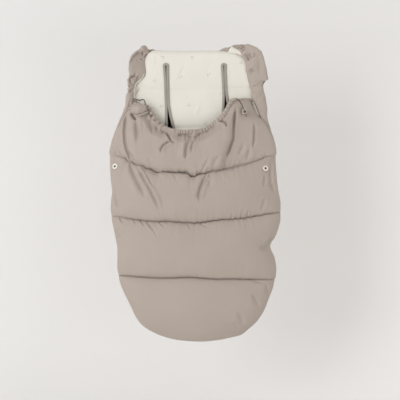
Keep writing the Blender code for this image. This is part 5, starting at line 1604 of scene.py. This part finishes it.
def tape_ends():
    """The zip tapes' folded ends, above the top of each zip."""
    for name, line, body in (
        ("zip_end_right", ((252.4, 101.6), (250.6, 99.4), (248.4, 98.4)), "bag"),
        ("zip_end_right_cover", ((250.4, 101.8), (248.2, 99.6), (246.2, 98.0)), "upper_cover"),
        ("zip_end_left", ((134.6, 101.4), (133.9, 99.4), (133.2, 97.8)), "bag"),
        ("corner_tape_left", ((133.2, 99.2), (136.4, 99.6), (140.4, 100.4)), "upper_cover"),
        ("zip_end_left_cover", ((136.8, 101.4), (136.0, 99.6), (134.8, 98.4)), "upper_cover"),
    ):
        path = along_line([at_pixel(x, row, -0.0495 - 0.001 * k) for k, (x, row) in enumerate(line)], 24)
        fade = ends_fade(np.linspace(0, 1, len(path)), 30)[:, None, None]
        wide, thick = (0.0015, 0.0012) if "corner" in name else (0.0017, 0.0008)
        material = cord_dark if "corner" in name else zip_cloth
        piece = tube(name, path, FRONT, ring(wide, thick, 10, 0.7) * fade, material, body)


tape_ends()


# The strips round the side edge: their depth and half their width
STRIP_Y = -0.0410
STRIP_HALF = 0.0066


def side_line(side):
    """The bag's side edge from the upper zip's foot down to the foot's band."""
    z = np.linspace(ZIP_LOW, FOOT_TOP, 220)
    x = side * (half_width(z, side) - 0.0042)
    return np.stack([x, np.full(len(z), STRIP_Y), z], axis=-1)


def foot_line():
    """The edge round the foot, from the left to the right."""
    s = np.linspace(0, 1, 60)
    left = back_points(np.full_like(s, -1.0), 1 + s)
    low = back_points(np.linspace(-1, 1, 121), np.full(121, 2.0))
    right = back_points(np.full_like(s, 1.0), 1 + s)[::-1]
    line = np.concatenate([left[:-1], low[:-1], right])
    line[:, 1] = STRIP_Y
    return line


def edge_strips():
    """The closed stretch of each zip and the band sewn round the foot."""
    for word, side in (("left", LEFT), ("right", RIGHT)):
        path = side_line(side)
        ahead = unit(np.gradient(path, axis=0))
        front = np.tile(FRONT, (len(path), 1))
        out = unit(np.cross(ahead, front) * -side)
        v = np.linspace(-STRIP_HALF, STRIP_HALF, 9)
        section = np.stack([v, 0.0030 + 0.0006 * np.cos(v / STRIP_HALF * 1.4)], axis=-1)
        piece = cloth(f"closed_zip_strip_{word}", swept(path, front, out, section), zip_cloth, "bag", 0.0012,
                      flip=side < 0)
        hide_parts(f"closed_zip_{word}")
        run = run_along(path)
        places = np.arange(0.001, run[-1] - 0.001, TOOTH_PITCH)
        centres, ways, outs = (
            np.stack([np.interp(places, run, values) for values in rows.T], axis=-1)
            for rows in (path, ahead, out)
        )
        centres, fronts = centres + outs * 0.0040, [FRONT] * len(places)
        piece = coil(f"closed_zip_coil_{word}", centres, ways, fronts, outs, "bag", -0.0021, 0.0021)
        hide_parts(f"closed_zip_{word}")
    path = along_line(foot_line(), 420)
    front = np.tile(FRONT, (len(path), 1))
    out = unit(-np.cross(unit(np.gradient(path, axis=0)), front))
    a = np.linspace(0, 2 * np.pi, 33)
    t = np.linspace(0, 1, len(path))[:, None]
    pucker = 1 + 0.10 * noise_grid(t * 150, a[None] * 0.7, 95)
    section = (ring(STRIP_HALF, 0.0016, 32, 0.6) + (0, 0.0012)) * (ends_fade(t, 60) * pucker)[..., None]
    piece = cloth("foot_band_sewn", swept(path, front, out, section), shell_cloth, "bag", closed=True,
                  flip=True)
    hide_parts("foot_band")


edge_strips()


# The pocket that slips over the seat's top, with elastic drawn through its hem

POCKET_LEFT, POCKET_RIGHT = -0.1665, 0.1785
POCKET_TOP, POCKET_HEM = 0.0012, -0.0735
HEM_SEAM = 0.86


def pocket_points(u, v):
    """Points of the pocket's outside: v from 0 at the top edge to 1 at the hem."""
    middle, half = (POCKET_LEFT + POCKET_RIGHT) / 2, (POCKET_RIGHT - POCKET_LEFT) / 2
    gather = np.clip((v - 0.35) / 0.65, 0, 1) ** 1.6
    x = middle + u * half * (1 - 0.035 * gather)
    side = np.sqrt(np.maximum(0, 1 - np.abs(u) ** 9))
    top = np.sqrt(np.maximum(0, 1 - np.clip(1 - v / 0.42, 0, 1) ** 2.4))
    z = POCKET_TOP + (POCKET_HEM - POCKET_TOP) * v
    waves = ridges(x * 135, v * 0.7 + 3, 101) - 0.45 + 0.5 * (ridges(x * 290, v * 0.9 + 6, 102) - 0.45)
    y = 0.0010 + 0.0302 * side * top + 0.0040 * waves * gather * side - 0.0022 * gather
    z = z + 0.0016 * gather * noise_grid(x * 60, v * 0 + 2, 103)
    return np.stack([x, y, z], axis=-1)


def seat_pocket():
    """The pocket's cloth and the elastic inside its hem."""
    u, v = np.meshgrid(crowded(361, 0.8), spread(48, 0.5))
    points = pocket_points(u, v)
    points[..., 1] -= 0.0010 * np.exp(-(((v - HEM_SEAM) * 0.075) / 0.0009) ** 2)
    piece = cloth("seat_pocket_gathered", points, shell_cloth, "bag", 0.0013, flip=True)
    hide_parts("seat_pocket")
    u, v = np.meshgrid(np.linspace(-0.90, 0.90, 300), np.linspace(0.88, 0.985, 6))
    points = pocket_points(u, v)
    points[..., 1] -= 0.0017
    piece = cloth("pocket_elastic_strip", points, elastic_cloth, "bag", 0.0009, flip=True)
    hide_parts("pocket_elastic")


seat_pocket()


# The pieces whose shape is the CAD model's own, in better materials

for name, material in (
    ("drawcord", cord_cloth), ("drawcord_knot", knot_cloth), ("cord_lock_barrel", lock_plastic),
    ("cord_lock_plunger", dark_metal), ("zip_slider_left", nickel),
    ("zip_slider_right", nickel), ("zip_pull_left", pull_plastic), ("zip_pull_right", pull_plastic),
    ("press_stud_ring_left", stud_plastic), ("press_stud_ring_right", stud_plastic),
    ("press_stud_socket_left", stud_dark), ("press_stud_socket_right", stud_dark),
):
    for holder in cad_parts[name].material_slots:
        holder.material = material
